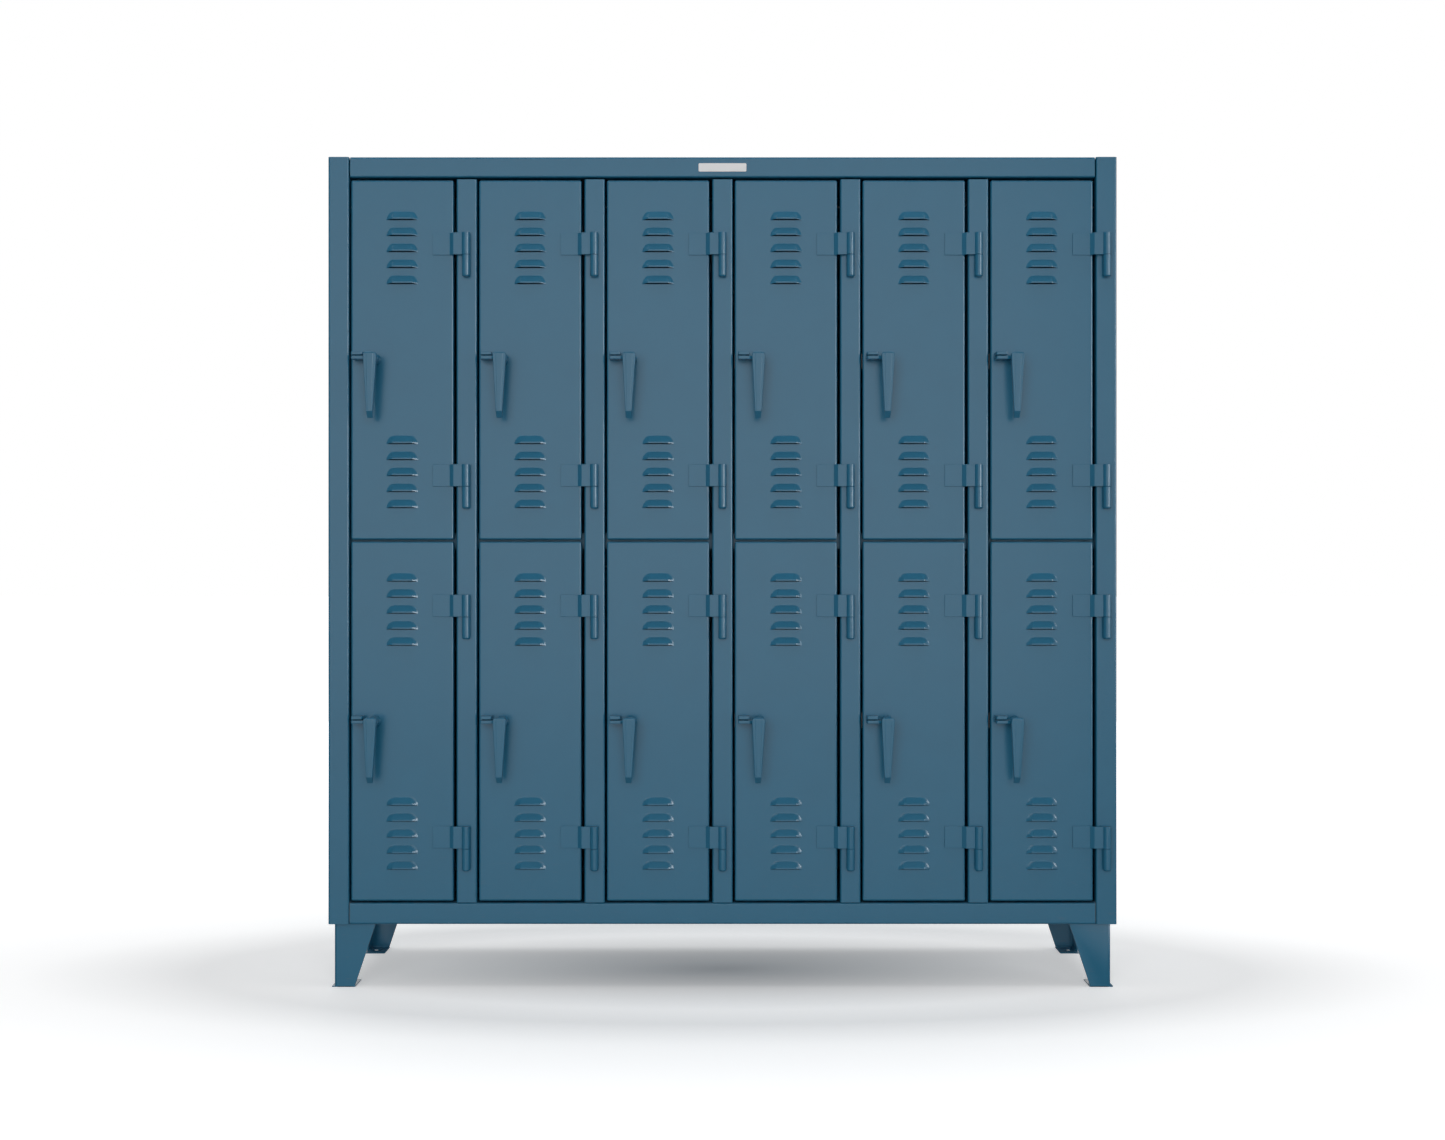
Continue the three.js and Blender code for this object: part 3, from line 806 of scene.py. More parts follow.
@dataclass
class CabinetFrame:
    """Posts with their side panels, rails and mullions, all folded from sheet."""

    shop: Workshop
    sheet: float = 1.9 * MM
    panel_sheet: float = 1.5 * MM
    post_width: float = 50.8 * MM
    relief: float = 1.1 * MM
    web_share: float = 0.85
    return_depth: float = 25.4 * MM
    bend: float = 4.8 * MM
    edge: float = 0.25 * MM
    header_seam: float = 1.5 * MM
    header_lift: float = 2.2 * MM
    sill_seam: float = 0.6 * MM
    mullion_drop: float = 2.8 * MM
    mullion_lift: float = 0.8 * MM

    def build(self) -> None:
        """Build every folded piece of the frame."""
        for side in Side:
            self.side_panel(side)
        self.rail("header_rail", self.header_seam, self.header_lift)
        self.rail("sill_rail", self.sill_seam, 0.0)
        for number in range(1, COLUMNS):
            self.divider(f"divider_{number}")

    def side_panel(self, side: Side) -> None:
        """Fold one side panel with its post."""
        name = f"{side.name.lower()}_side_panel"
        low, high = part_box(name)
        sign, t = side.value, self.sheet
        outer = abs(low.x if side is Side.LEFT else high.x)
        inner = outer - self.post_width + self.relief
        front, back = FACE_Y, high.y
        outline = rounded(
            [
                (outer, front, self.bend),
                (outer, back),
                (outer - t, back),
                (outer - t, front + t, self.bend - t),
                (inner + t, front + t, self.bend - t),
                (inner + t, front + self.return_depth),
                (inner, front + self.return_depth),
                (inner, front, self.bend),
            ]
        )
        shape = prism([(sign * x, y) for x, y in outline], Axis.Z, low.z, high.z)
        mesh = worked(shape.mesh(), softened(self.edge, 1, 60))
        self.shop.fit(f"{side.name.lower()}_side_sheet", mesh, FRAME_ENAMEL, nodes=[name])

    def rail(self, name: str, seam: float, lift: float) -> None:
        """Fold one rail, a channel that is open to the back.

        Args:
            name: The rail's node.
            seam: The open seam at each of its ends.
            lift: How far its lower edge is raised.
        """
        low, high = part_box(name)
        bottom = low.z + lift
        t, back = self.sheet, FACE_Y + self.return_depth
        outline = rounded(
            [
                (FACE_Y, bottom, self.bend),
                (back, bottom),
                (back, bottom + t),
                (FACE_Y + t, bottom + t, self.bend - t),
                (FACE_Y + t, high.z - t, self.bend - t),
                (back, high.z - t),
                (back, high.z),
                (FACE_Y, high.z, self.bend),
            ]
        )
        reach = high.x - seam
        mesh = worked(prism(outline, Axis.X, -reach, reach).mesh(), softened(self.edge, 1, 60))
        self.shop.fit(f"{name}_channel", mesh, FRAME_ENAMEL, nodes=[name])

    def divider(self, name: str) -> None:
        """Fold one mullion and weld the partition to the inside of its face."""
        low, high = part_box(name)
        middle = (low.x + high.x) / 2
        w, t, p = self.post_width / 2 - self.relief, self.sheet, self.panel_sheet / 2
        web = p * self.web_share
        back = FACE_Y + self.return_depth
        bottom = low.z + self.mullion_lift
        mullion_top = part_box("header_rail")[0].z - self.mullion_drop
        outline = rounded(
            [
                (middle - w, FACE_Y, self.bend),
                (middle + w, FACE_Y, self.bend),
                (middle + w, back),
                (middle + w - t, back),
                (middle + w - t, FACE_Y + t, self.bend - t),
                (middle + web, FACE_Y + t),
                (middle + web, back + 2 * t),
                (middle - web, back + 2 * t),
                (middle - web, FACE_Y + t),
                (middle - w + t, FACE_Y + t, self.bend - t),
                (middle - w + t, back),
                (middle - w, back),
            ]
        )
        mullion = prism(outline, Axis.Z, bottom, mullion_top)
        wall = rectangle((middle - p, back + t), (middle + p, high.y))
        shape = mullion.with_shapes([prism(wall, Axis.Z, low.z, high.z)])
        mesh = worked(shape.mesh(), softened(self.edge, 1, 60))
        self.shop.fit(f"{name}_sheet", mesh, FRAME_ENAMEL, nodes=[name])


@dataclass
class CabinetPanels:
    """Top, bottom, back and shelves, with the spot welds that hold them."""

    shop: Workshop
    sheet: float = 1.5 * MM
    bend: float = 2.2 * MM
    shelf_setback: float = 10 * MM
    base_flange: float = 40 * MM
    return_depth: float = 25.4 * MM
    post_width: float = 50.8 * MM
    frame_sheet: float = 1.9 * MM
    edge: float = 0.2 * MM
    weld_radius: float = 3.2 * MM
    weld_height: float = 0.35 * MM
    weld_pitch: float = 101.6 * MM
    weld_inset: float = 12 * MM

    def build(self) -> None:
        """Build every panel and its spot welds."""
        self.back()
        self.top()
        self.floor()
        for column in range(1, COLUMNS + 1):
            self.shelf(f"shelf_{column}")
        self.spot_welds()

    def back(self) -> None:
        """Cut the flat back."""
        low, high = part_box("back_panel")
        shape = prism(rectangle((low.x, low.z), (high.x, high.z)), Axis.Y, low.y, high.y)
        mesh = worked(shape.mesh(), softened(self.edge, 1, 60))
        self.shop.fit("back_sheet", mesh, PANEL_ENAMEL, nodes=["back_panel"])

    def top(self) -> None:
        """Cut the flat top, with the two tabs that fill the corners behind the posts."""
        low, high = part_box("top_panel")
        tab = high.x - self.post_width + 2 * self.frame_sheet
        rear = FACE_Y + self.return_depth
        outline = [
            (-high.x, low.y),
            (-tab, low.y),
            (-tab, rear),
            (tab, rear),
            (tab, low.y),
            (high.x, low.y),
            (high.x, high.y),
            (-high.x, high.y),
        ]
        mesh = worked(prism(outline, Axis.Z, low.z, high.z).mesh(), softened(self.edge, 1, 60))
        self.shop.fit("top_sheet", mesh, PANEL_ENAMEL, nodes=["top_panel"])

    def floor(self) -> None:
        """Fold the floor, flanged down and in at both ends."""
        low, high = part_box("bottom_panel")
        t, side, flange = self.sheet, high.x, self.base_flange
        outline = rounded(
            [
                (-side, high.z, self.bend),
                (-side, low.z, self.bend),
                (flange - side, low.z),
                (flange - side, low.z + t),
                (t - side, low.z + t, self.bend - t),
                (t - side, high.z - t, self.bend - t),
                (side - t, high.z - t, self.bend - t),
                (side - t, low.z + t, self.bend - t),
                (side - flange, low.z + t),
                (side - flange, low.z),
                (side, low.z, self.bend),
                (side, high.z, self.bend),
            ]
        )
        mesh = worked(prism(outline, Axis.Y, low.y, high.y).mesh())
        self.shop.fit("floor_sheet", mesh, PANEL_ENAMEL, nodes=["bottom_panel"])

    def shelf(self, name: str) -> None:
        """Fold one shelf with its front flange."""
        low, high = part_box(name)
        t, front = self.sheet, low.y + self.shelf_setback
        outline = rounded(
            [
                (front, high.z, self.bend),
                (front, low.z),
                (front + t, low.z),
                (front + t, high.z - t, self.bend - t),
                (high.y, high.z - t),
                (high.y, high.z),
            ]
        )
        mesh = worked(prism(outline, Axis.X, low.x, high.x).mesh())
        self.shop.fit(f"{name}_sheet", mesh, PANEL_ENAMEL, nodes=[name])

    def spot_welds(self) -> None:
        """Press spot welds through the back along each partition, and through the top at its rims."""
        r, h = self.weld_radius, self.weld_height
        profile = [(r, -h), (r * 0.92, 0.0), (r * 0.6, h), (r * 0.25, h * 0.7)]
        low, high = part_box("back_panel")
        count = int((high.z - low.z) / self.weld_pitch)
        heights = [low.z + (high.z - low.z) * (step + 0.5) / count for step in range(count)]
        lines = [(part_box(f"divider_{n}")[0].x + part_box(f"divider_{n}")[1].x) / 2 for n in range(1, COLUMNS)]
        lines += [low.x + self.weld_inset, high.x - self.weld_inset]
        places = [(x, high.y, z) for x in lines for z in heights]
        welds = self.shop.set_on(worked(turned(profile, Axis.Y, 16).mesh()), places, PANEL_ENAMEL)
        self.shop.fit("back_spot_welds", welds, PANEL_ENAMEL)
        count = int((high.x - low.x) / self.weld_pitch)
        across = [low.x + (high.x - low.x) * (step + 0.5) / count for step in range(count)]
        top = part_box("top_panel")[1].z - h
        rims = (FACE_Y + self.return_depth + self.weld_inset, high.y - self.weld_inset)
        places = [(x, y, top) for y in rims for x in across]
        welds = self.shop.set_on(worked(turned(profile, Axis.Z, 16).mesh()), places, PANEL_ENAMEL)
        self.shop.fit("top_spot_welds", welds, PANEL_ENAMEL)


@dataclass
class Leg:
    """A leg: two tapered gussets bent from one plate, on a foot plate with an anchor hole."""

    shop: Workshop
    node: str
    plate: float = 4.5 * MM
    foot_plate: float = 2 * MM
    foot_size: tuple[float, float] = (57 * MM, 73 * MM)
    bend: float = 6.5 * MM
    foot_arm: float = 48 * MM
    foot_overhang: float = 6.7 * MM
    foot_corner: float = 4 * MM
    hole_radius: float = 6.5 * MM
    bead: float = 2.2 * MM
    bead_seat: float = 0.4
    edge: float = 0.5 * MM
    overshoot: float = 1 * MM

    def build(self) -> None:
        """Build the leg and its weld bead."""
        low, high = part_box(self.node)
        mirror_x = 1 if low.x < 0 else -1
        mirror_y = 1 if low.y < 0 else -1
        corner_x = (low.x if mirror_x > 0 else high.x) + mirror_x * self.foot_overhang
        corner_y = low.y if mirror_y > 0 else high.y
        width = abs((high.x if mirror_x > 0 else low.x) - corner_x)
        gusset = loft([self.section(self.foot_arm, 0.0), self.section(width, high.z)])
        foot_x, foot_y = self.foot_size
        pad = prism(
            rectangle((-self.foot_overhang, 0), (foot_x - self.foot_overhang, foot_y), self.foot_corner),
            Axis.Z,
            0.0,
            self.foot_plate,
        )
        middle = (foot_x / 2 - self.foot_overhang, foot_y / 2, 0)
        bottom, top = -self.overshoot, self.foot_plate + self.overshoot
        hole = turned([(self.hole_radius, bottom), (self.hole_radius, top)], Axis.Z)
        foot = without(pad.mesh(), hole.moved(middle))
        meshes = [worked(gusset.mesh(), softened(self.edge)), worked(foot, softened(self.edge))]
        inset = self.plate + self.bead * self.bead_seat
        height = self.foot_plate + self.bead * self.bead_seat
        path = [(self.foot_arm, inset, height), (inset, inset, height), (inset, self.foot_arm, height)]
        finish = self.shop.materials[FRAME_ENAMEL.name]
        meshes.append(self.shop.beads.grow(path_mesh([path]), Radius=self.bead, Material=finish))
        whole = combined(meshes)
        mirror = Matrix.Diagonal((mirror_x, mirror_y, 1, 1))
        whole.transform(Matrix.Translation((corner_x, corner_y, 0)) @ mirror)
        if mirror_x * mirror_y < 0:
            whole.flip_normals()
        self.shop.fit(f"{self.node}_plates", whole, FRAME_ENAMEL, nodes=[self.node])

    def section(self, arm: float, height: float) -> list[Vector]:
        """Return the leg's angle section, with arms of one length, at a height."""
        t = self.plate
        outline = rounded(
            [
                (0, 0, self.bend),
                (arm, 0),
                (arm, t),
                (t, t, self.bend - t),
                (t, arm),
                (0, arm),
            ]
        )
        return [Vector((x, y, height)) for x, y in outline]


@dataclass
class NamePlate:
    """The blank plate on the header."""

    shop: Workshop
    corner: float = 3 * MM

    def build(self) -> None:
        """Build the plate with rounded corners and a soft rim."""
        low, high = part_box("name_plate")
        outline = rectangle((low.x, low.z), (high.x, high.z), self.corner)
        mesh = worked(prism(outline, Axis.Y, low.y, high.y).mesh(), softened(0.3 * MM))
        self.shop.fit("header_plate", mesh, BLANK_PLATE, nodes=["name_plate"])


@dataclass
class CoatHooks:
    """One double hook under each compartment's ceiling and a wire hook on each wall."""

    shop: Workshop
    wire: float = 2.4 * MM
    spread: float = 32 * MM
    drop: float = 26 * MM
    depth: float = 190 * MM
    plate: float = 2 * MM
    below: float = 60 * MM

    def build(self) -> None:
        """Bend the hooks and hang them in every compartment."""
        w, s, d = self.wire, self.spread, self.drop
        ceiling_path = [
            (-s, 0, -d + 14 * MM),
            (-s, 0, -d),
            (-6 * MM, 0, -d + 8 * MM),
            (-6 * MM, 0, -w),
            (6 * MM, 0, -w),
            (6 * MM, 0, -d + 8 * MM),
            (s, 0, -d),
            (s, 0, -d + 14 * MM),
        ]
        wall_path = [(w, 0, 20 * MM), (w, 0, -16 * MM), (16 * MM, 0, -20 * MM), (24 * MM, 0, -6 * MM)]
        material = self.shop.materials[ZINC_PLATE.name]
        settings = {"Radius": w, "Bend_Radius": 6 * MM, "Material": material}
        ceiling_hook = self.shop.wires.grow(path_mesh([ceiling_path]), **settings)
        wall_hook = self.shop.wires.grow(path_mesh([wall_path]), **settings)
        mirrored = wall_hook.copy()
        mirrored.transform(Matrix.Diagonal((-1, 1, 1, 1)))
        mirrored.flip_normals()
        ceilings, left_walls, right_walls = [], [], []
        for column in range(1, COLUMNS + 1):
            low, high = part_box(f"shelf_{column}")
            middle = (low.x + high.x) / 2
            y = FACE_Y + self.depth
            for z in (high.z - 1.6 * MM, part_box("top_panel")[0].z):
                ceilings.append((middle, y, z - w * 0.2))
                left_walls.append((low.x, y, z - self.below))
                right_walls.append((high.x, y, z - self.below))
        for name, mesh, places in (
            ("ceiling_hooks", ceiling_hook, ceilings),
            ("left_wall_hooks", wall_hook, left_walls),
            ("right_wall_hooks", mirrored, right_walls),
        ):
            grown = self.shop.set_on(worked(mesh), places, ZINC_PLATE)
            self.shop.fit(name, grown, ZINC_PLATE)


# ---------------------------------------------------------------- hinges


@dataclass
class Hinge:
    """The knuckles and the offset leaf of one hinge, around its axis with z = 0 at the joint line."""

    radius: float = 9.525 * MM
    standoff: float = 0.5 * MM
    height: float = 52.4 * MM
    gap: float = 0.5 * MM
    chamfer: float = 3 * MM
    pin_radius: float = 4.7 * MM
    pin_length: float = 38 * MM
    pin_clearance: float = 0.3 * MM
    bore_depth: float = 44.4 * MM
    leaf_sheet: float = 3 * MM
    leaf_length: float = 50.3 * MM
    ramp: float = 9.5 * MM
    door_offset: float = 30.1625 * MM
    pad_width: float = 12 * MM
    end_margin: float = 126.5 * MM
    edge: float = 0.7 * MM

    @property
    def front(self) -> float:
        """Return how far the axis stands in front of the door's face."""
        return self.radius + self.standoff

    def leaf_heights(self, door_height: float) -> list[float]:
        """Return the heights of the joint lines above the middle of a door."""
        highest = door_height / 2 - self.end_margin - self.height
        return [highest, self.end_margin - door_height / 2]

    def leaf(self) -> bpy.types.Mesh:
        """Shape the door's leaf and knuckle in one piece, with the blind bore for the pin."""
        r, half, edge = self.radius, self.leaf_sheet / 2, -self.door_offset
        face = self.front
        start = math.pi - math.asin(half / r)
        sides = 44
        barrel = []
        for step in range(sides + 1):
            angle = -start + 2 * start * step / sides
            barrel.append((r * math.cos(angle), r * math.sin(angle)))
        flat = face - self.leaf_sheet
        outline = rounded(
            [
                *barrel,
                (edge + half, half, 1.5 * MM),
                (edge - self.ramp + half, face),
                (edge - self.leaf_length, face),
                (edge - self.leaf_length, flat),
                (edge - self.ramp, flat, 1.5 * MM),
                (edge, -half, 2 * MM),
            ]
        )
        mesh = evaluated(prism(outline, Axis.Z, 0, self.height).mesh(), [softened(self.edge, 2, 60)])
        bore = self.pin_radius + self.pin_clearance
        return worked(without(mesh, turned([(bore, -1 * MM), (bore, self.bore_depth)], Axis.Z)))

    def lower_knuckle(self) -> bpy.types.Mesh:
        """Shape the frame's knuckle with its pin, chamfered at its foot, on a welded pad."""
        r, top = self.radius, -self.gap
        foot = top - self.height
        profile = [
            (r - self.chamfer, foot),
            (r - 0.3 * MM, foot + self.chamfer - 0.3 * MM),
            (r, foot + self.chamfer + 0.8 * MM),
            (r, top - 1 * MM),
            (r - 1 * MM, top),
            (self.pin_radius, top),
            (self.pin_radius, top + self.pin_length - 1 * MM),
            (self.pin_radius - 1 * MM, top + self.pin_length),
        ]
        half = self.pad_width / 2
        outline = rectangle((-half, 0), (half, self.front))
        pad = prism(outline, Axis.Z, foot + 2 * self.chamfer, top - self.chamfer)
        return worked(turned(profile, Axis.Z, 48).with_shapes([pad]).mesh())


# ---------------------------------------------------------------- door


@dataclass
class LouvreTile:
    """One louvre with the strip of door around it; its slot's lower lip is at z = 0."""

    width: float
    pitch: float = 38.1 * MM
    below: float = 8.8 * MM
    height: float = 20.5 * MM
    depth: float = 7 * MM
    foot_width: float = 75 * MM
    head_width: float = 50 * MM
    cheek: float = 14 * MM
    roundness: float = 1.7
    lip: float = 3.6 * MM
    mouth: float = 2 * MM

    def rows(self) -> list[float]:
        """Return the heights of the hood's rows as shares of its height."""
        lip = self.lip / self.height
        return [0, lip * 0.5, lip, lip + 0.035, 0.3, 0.42, 0.54, 0.66, 0.77, 0.86, 0.93, 0.975, 1.0]

    def half_width(self, share: float) -> float:
        """Return the hood's half width at a share of its height, with its upper corners rounded."""
        foot, head = self.foot_width / 2, self.head_width / 2
        return head + (foot - head) * (1 - share**self.roundness) ** (1 / self.roundness)

    def columns(self, share: float) -> list[float]:
        """Return the x of every column of points at a share of the hood's height."""
        half = self.half_width(share)
        ends = [0, 0.12, 0.3, 0.6, 0.85, 1.0]
        cheeks = [half - self.cheek * end for end in ends]
        inner = [cheeks[-1] * part for part in (0.75, 0.5, 0.25)]
        outer = [self.width / 2, self.width / 2 - 12 * MM, (self.width / 2 + self.foot_width / 2) / 2]
        right = outer + cheeks + inner
        return [-x for x in right] + [0.0] + right[::-1]

    def level(self, x: float, share: float) -> float:
        """Return the height of a point of the hood, whose mouth stands a little above the slot's lip."""
        inside = max(self.half_width(share) - abs(x), 0.0)
        return share * self.height + self.mouth * (1 - share) * min(inside / self.cheek * 1.5, 1.0)

    def rise(self, x: float, share: float) -> float:
        """Return how far the hood stands out of the door at a point."""
        inside = max(self.half_width(share) - abs(x), 0.0)
        cheek = smooth_limit(inside / self.cheek, 0.12)
        lip = self.lip / self.height
        slope = (1 - share) / (1 - lip) if share > lip else 1.0
        return self.depth * cheek * smooth_foot(slope, 0.12)

    def mesh(self) -> bpy.types.Mesh:
        """Build the strip, open along the slot under the hood's lip."""
        lines = [[(x, 0.0, z) for x in self.columns(0)] for z in (-self.below, 0.0)]
        for share in self.rows():
            line = [(x, -self.rise(x, share), self.level(x, share)) for x in self.columns(share)]
            lines.append(line)
        lines.append([(x, 0.0, self.pitch - self.below) for x in self.columns(0)])
        count = len(lines[0])
        points = [point for line in lines for point in line]
        faces = []
        for row in range(len(lines) - 1):
            if row == 1:
                continue
            for column in range(count - 1):
                start = row * count + column
                faces.append((start, start + 1, start + count + 1, start + count))
        made = bpy.data.meshes.new("louvre_tile")
        made.from_pydata(points, [], faces)
        return self.merged_outside_slot(made)

    def merged_outside_slot(self, mesh: bpy.types.Mesh) -> bpy.types.Mesh:
        """Join the two rows at the slot's height where the hood isn't, and leave the slot open."""
        work = bmesh.new()
        work.from_mesh(mesh)
        beside = [v for v in work.verts if abs(v.co.z) < 1e-7 and abs(v.co.x) > self.foot_width / 2 - 1e-5]
        bmesh.ops.remove_doubles(work, verts=beside, dist=1e-6)
        work.to_mesh(mesh)
        work.free()
        return mesh


def smooth_limit(value: float, softness: float) -> float:
    """Return a value capped at 1, with the corner at the cap rounded off.

    Args:
        value: The value, from 0 upwards.
        softness: How far below the cap the rounding starts.

    Returns:
        The capped value.
    """
    if value >= 1 + softness:
        return 1.0
    if value <= 1 - softness:
        return value
    share = (value - 1 + softness) / (2 * softness)
    return value - softness * share * share


def smooth_foot(value: float, softness: float) -> float:
    """Return a value that meets 0 and 1 gently, for a slope that fades into the flat."""
    return 1 - smooth_limit(1 - value, softness) if value < 1 else 1.0


@dataclass
class Door:
    """The folded door pan with its louvres, leaves and fixed padlock lug, around its own middle."""

    shop: Workshop
    hinge: Hinge
    width: float
    height: float
    trim: float = 1.3 * MM
    overlap: float = 0.8 * MM
    sheet: float = 1.6 * MM
    return_depth: float = 19.05 * MM
    bend: float = 4.6 * MM
    louvres: int = 5
    end_margin: float = 75 * MM
    spindle_inset: float = 56.75 * MM
    spindle_hole: float = 6.3 * MM
    lug: "PadlockLug" = field(default_factory=lambda: PadlockLug())

    @property
    def sheet_width(self) -> float:
        """Return the width of the folded sheet, trimmed beside the hinge and let out at the latch."""
        return self.width - self.trim + self.overlap

    def pan(self) -> bpy.types.Mesh:
        """Shape the door's sheet with its two banks of louvres and its folded rims."""
        tile = LouvreTile(self.sheet_width)
        material = self.shop.materials[FRAME_ENAMEL.name]
        step = (0.0, 0.0, tile.pitch)
        bank = self.shop.repeat.grow(tile.mesh(), Count=self.louvres, Step=step, Material=material)
        half = self.height / 2
        lowest = self.end_margin - half
        highest = half - self.end_margin - tile.height
        upper_start = highest - (self.louvres - 1) * tile.pitch
        banks = [copy_at(bank, (0, 0, lowest)), copy_at(bank, (0, 0, upper_start))]
        bank_height = self.louvres * tile.pitch
        levels = [
            (-half, lowest - tile.below),
            (lowest - tile.below + bank_height, upper_start - tile.below),
            (upper_start - tile.below + bank_height, half),
        ]
        strips = [self.strip(tile.columns(0), low, high) for low, high in levels]
        whole = self.folded(combined(banks + strips))
        solid = Step("SOLIDIFY", {"thickness": self.sheet, "offset": -1.0, "use_even_offset": True})
        whole = evaluated(whole, [solid])
        hole = turned([(self.spindle_hole, -5 * MM), (self.spindle_hole, 5 * MM)], Axis.Y)
        whole = without(whole, hole.moved((self.spindle_inset + self.overlap - tile.width / 2, 0, 0)))
        return worked(whole, crease=20)

    @staticmethod
    def strip(columns: Sequence[float], low: float, high: float) -> bpy.types.Mesh:
        """Build a flat strip of the door between two heights, with the louvre tile's columns."""
        count = len(columns)
        points = [(x, 0.0, z) for z in (low, high) for x in columns]
        faces = [(i, i + 1, i + 1 + count, i + count) for i in range(count - 1)]
        made = bpy.data.meshes.new("strip")
        made.from_pydata(points, [], faces)
        return made

    def folded(self, sheet: bpy.types.Mesh) -> bpy.types.Mesh:
        """Fold the rims of the flat sheet back and round the bends."""
        work = bmesh.new()
        work.from_mesh(sheet)
        bmesh.ops.remove_doubles(work, verts=work.verts, dist=1e-6)
        x, z = self.sheet_width / 2, self.height / 2

        def on_rim(vertex: bmesh.types.BMVert) -> bool:
            """Tell whether a point lies on the sheet's outline."""
            return abs(abs(vertex.co.x) - x) < 1e-6 or abs(abs(vertex.co.z) - z) < 1e-6

        rim = [e for e in work.edges if e.is_boundary and all(on_rim(v) for v in e.verts)]
        grown = bmesh.ops.extrude_edge_only(work, edges=rim)["geom"]
        moved = [item for item in grown if isinstance(item, bmesh.types.BMVert)]
        bmesh.ops.translate(work, verts=moved, vec=(0, self.return_depth, 0))
        bmesh.ops.recalc_face_normals(work, faces=work.faces)
        creases = [e for e in work.edges if len(e.link_faces) == 2]
        creases = [e for e in creases if e.calc_face_angle(0) > math.radians(80)]
        creases = [e for e in creases if all(on_rim(v) for v in e.verts)]
        bmesh.ops.bevel(
            work, geom=creases, offset=self.bend, segments=6, profile=0.5, affect="EDGES", clamp_overlap=True
        )
        if sum(face.normal.y * face.calc_area() for face in work.faces) > 0:
            bmesh.ops.reverse_faces(work, faces=work.faces)
        work.to_mesh(sheet)
        work.free()
        return sheet

    def build(self) -> None:
        """Build every door with its leaves and lug."""
        pan = self.pan()
        leaf = self.hinge.leaf()
        lug = self.lug.fixed()
        heights = self.hinge.leaf_heights(self.height)
        for tier in Tier:
            for column in range(1, COLUMNS + 1):
                name = f"door_{tier.value}_{column}"
                axis = JOINT_PLACES[f"{name}_hinge"]
                left = axis.x - self.hinge.door_offset - self.width
                middle = (left - self.overlap + self.sheet_width / 2, FACE_Y, axis.z)
                self.shop.fit(f"{name}_pan", copy_at(pan, middle), FRAME_ENAMEL, name, [name])
                places = [(axis.x, axis.y, axis.z + height) for height in heights]
                leaves = self.shop.set_on(leaf, places, FRAME_ENAMEL)
                self.shop.fit(f"{name}_leaves", leaves, FRAME_ENAMEL, name)
                self.shop.fit(f"{name}_lug", copy_at(lug, (left, FACE_Y, axis.z)), CAST_ENAMEL, name)


@dataclass
class PadlockLug:
    """The pair of flat lugs that take a padlock; x is measured from the door's latch edge."""

    inset: float = 7 * MM
    width: float = 26.5 * MM
    front: float = 40 * MM
    thickness: float = 7.5 * MM
    corner: float = 3 * MM
    gap: float = 2.5 * MM
    moving_top: float = 5.25 * MM
    door_clearance: float = 5 * MM
    hole_radius: float = 5 * MM
    edge: float = 0.9 * MM
    overshoot: float = 1 * MM
    back_corner: float = 3 * MM
    arm_setback: float = 6 * MM

    def drilled(self, outline: Sequence[Sequence[float]], bottom: float) -> bpy.types.Mesh:
        """Draw a lug out of its outline and drill it for the padlock.

        Args:
            outline: The lug seen from above.
            bottom: The height of its underside.

        Returns:
            The lug's mesh.
        """
        top = bottom + self.thickness
        body = evaluated(prism(outline, Axis.Z, bottom, top).mesh(), [softened(self.edge, 3, 50)])
        x, y = self.inset + self.width / 2, -(self.front + self.door_clearance) / 2
        profile = [(self.hole_radius, bottom - self.overshoot), (self.hole_radius, top + self.overshoot)]
        return worked(without(body, turned(profile, Axis.Z).moved((x, y, 0))))

    def fixed(self) -> bpy.types.Mesh:
        """Shape the lug that is welded to the door."""
        x0, x1 = self.inset, self.inset + self.width
        outline = rounded([(x0, 0), (x0, -self.front, self.corner), (x1, -self.front, self.corner), (x1, 0)])
        return self.drilled(outline, self.moving_top + self.gap)

    def moving(self, spindle_inset: float) -> bpy.types.Mesh:
        """Shape the lug on the handle, with its arm to the hub; x = 0 is the spindle."""
        x0, x1 = self.inset, self.inset + self.width
        back = -self.door_clearance
        outline = rounded(
            [
                (x0, back, self.back_corner),
                (x0, -self.front, self.corner),
                (x1, -self.front, self.corner),
                (spindle_inset, -self.front + self.arm_setback),
                (spindle_inset, back),
            ]
        )
        lug = self.drilled(outline, self.moving_top - self.thickness)
        return copy_at(lug, (-spindle_inset, 0, 0))


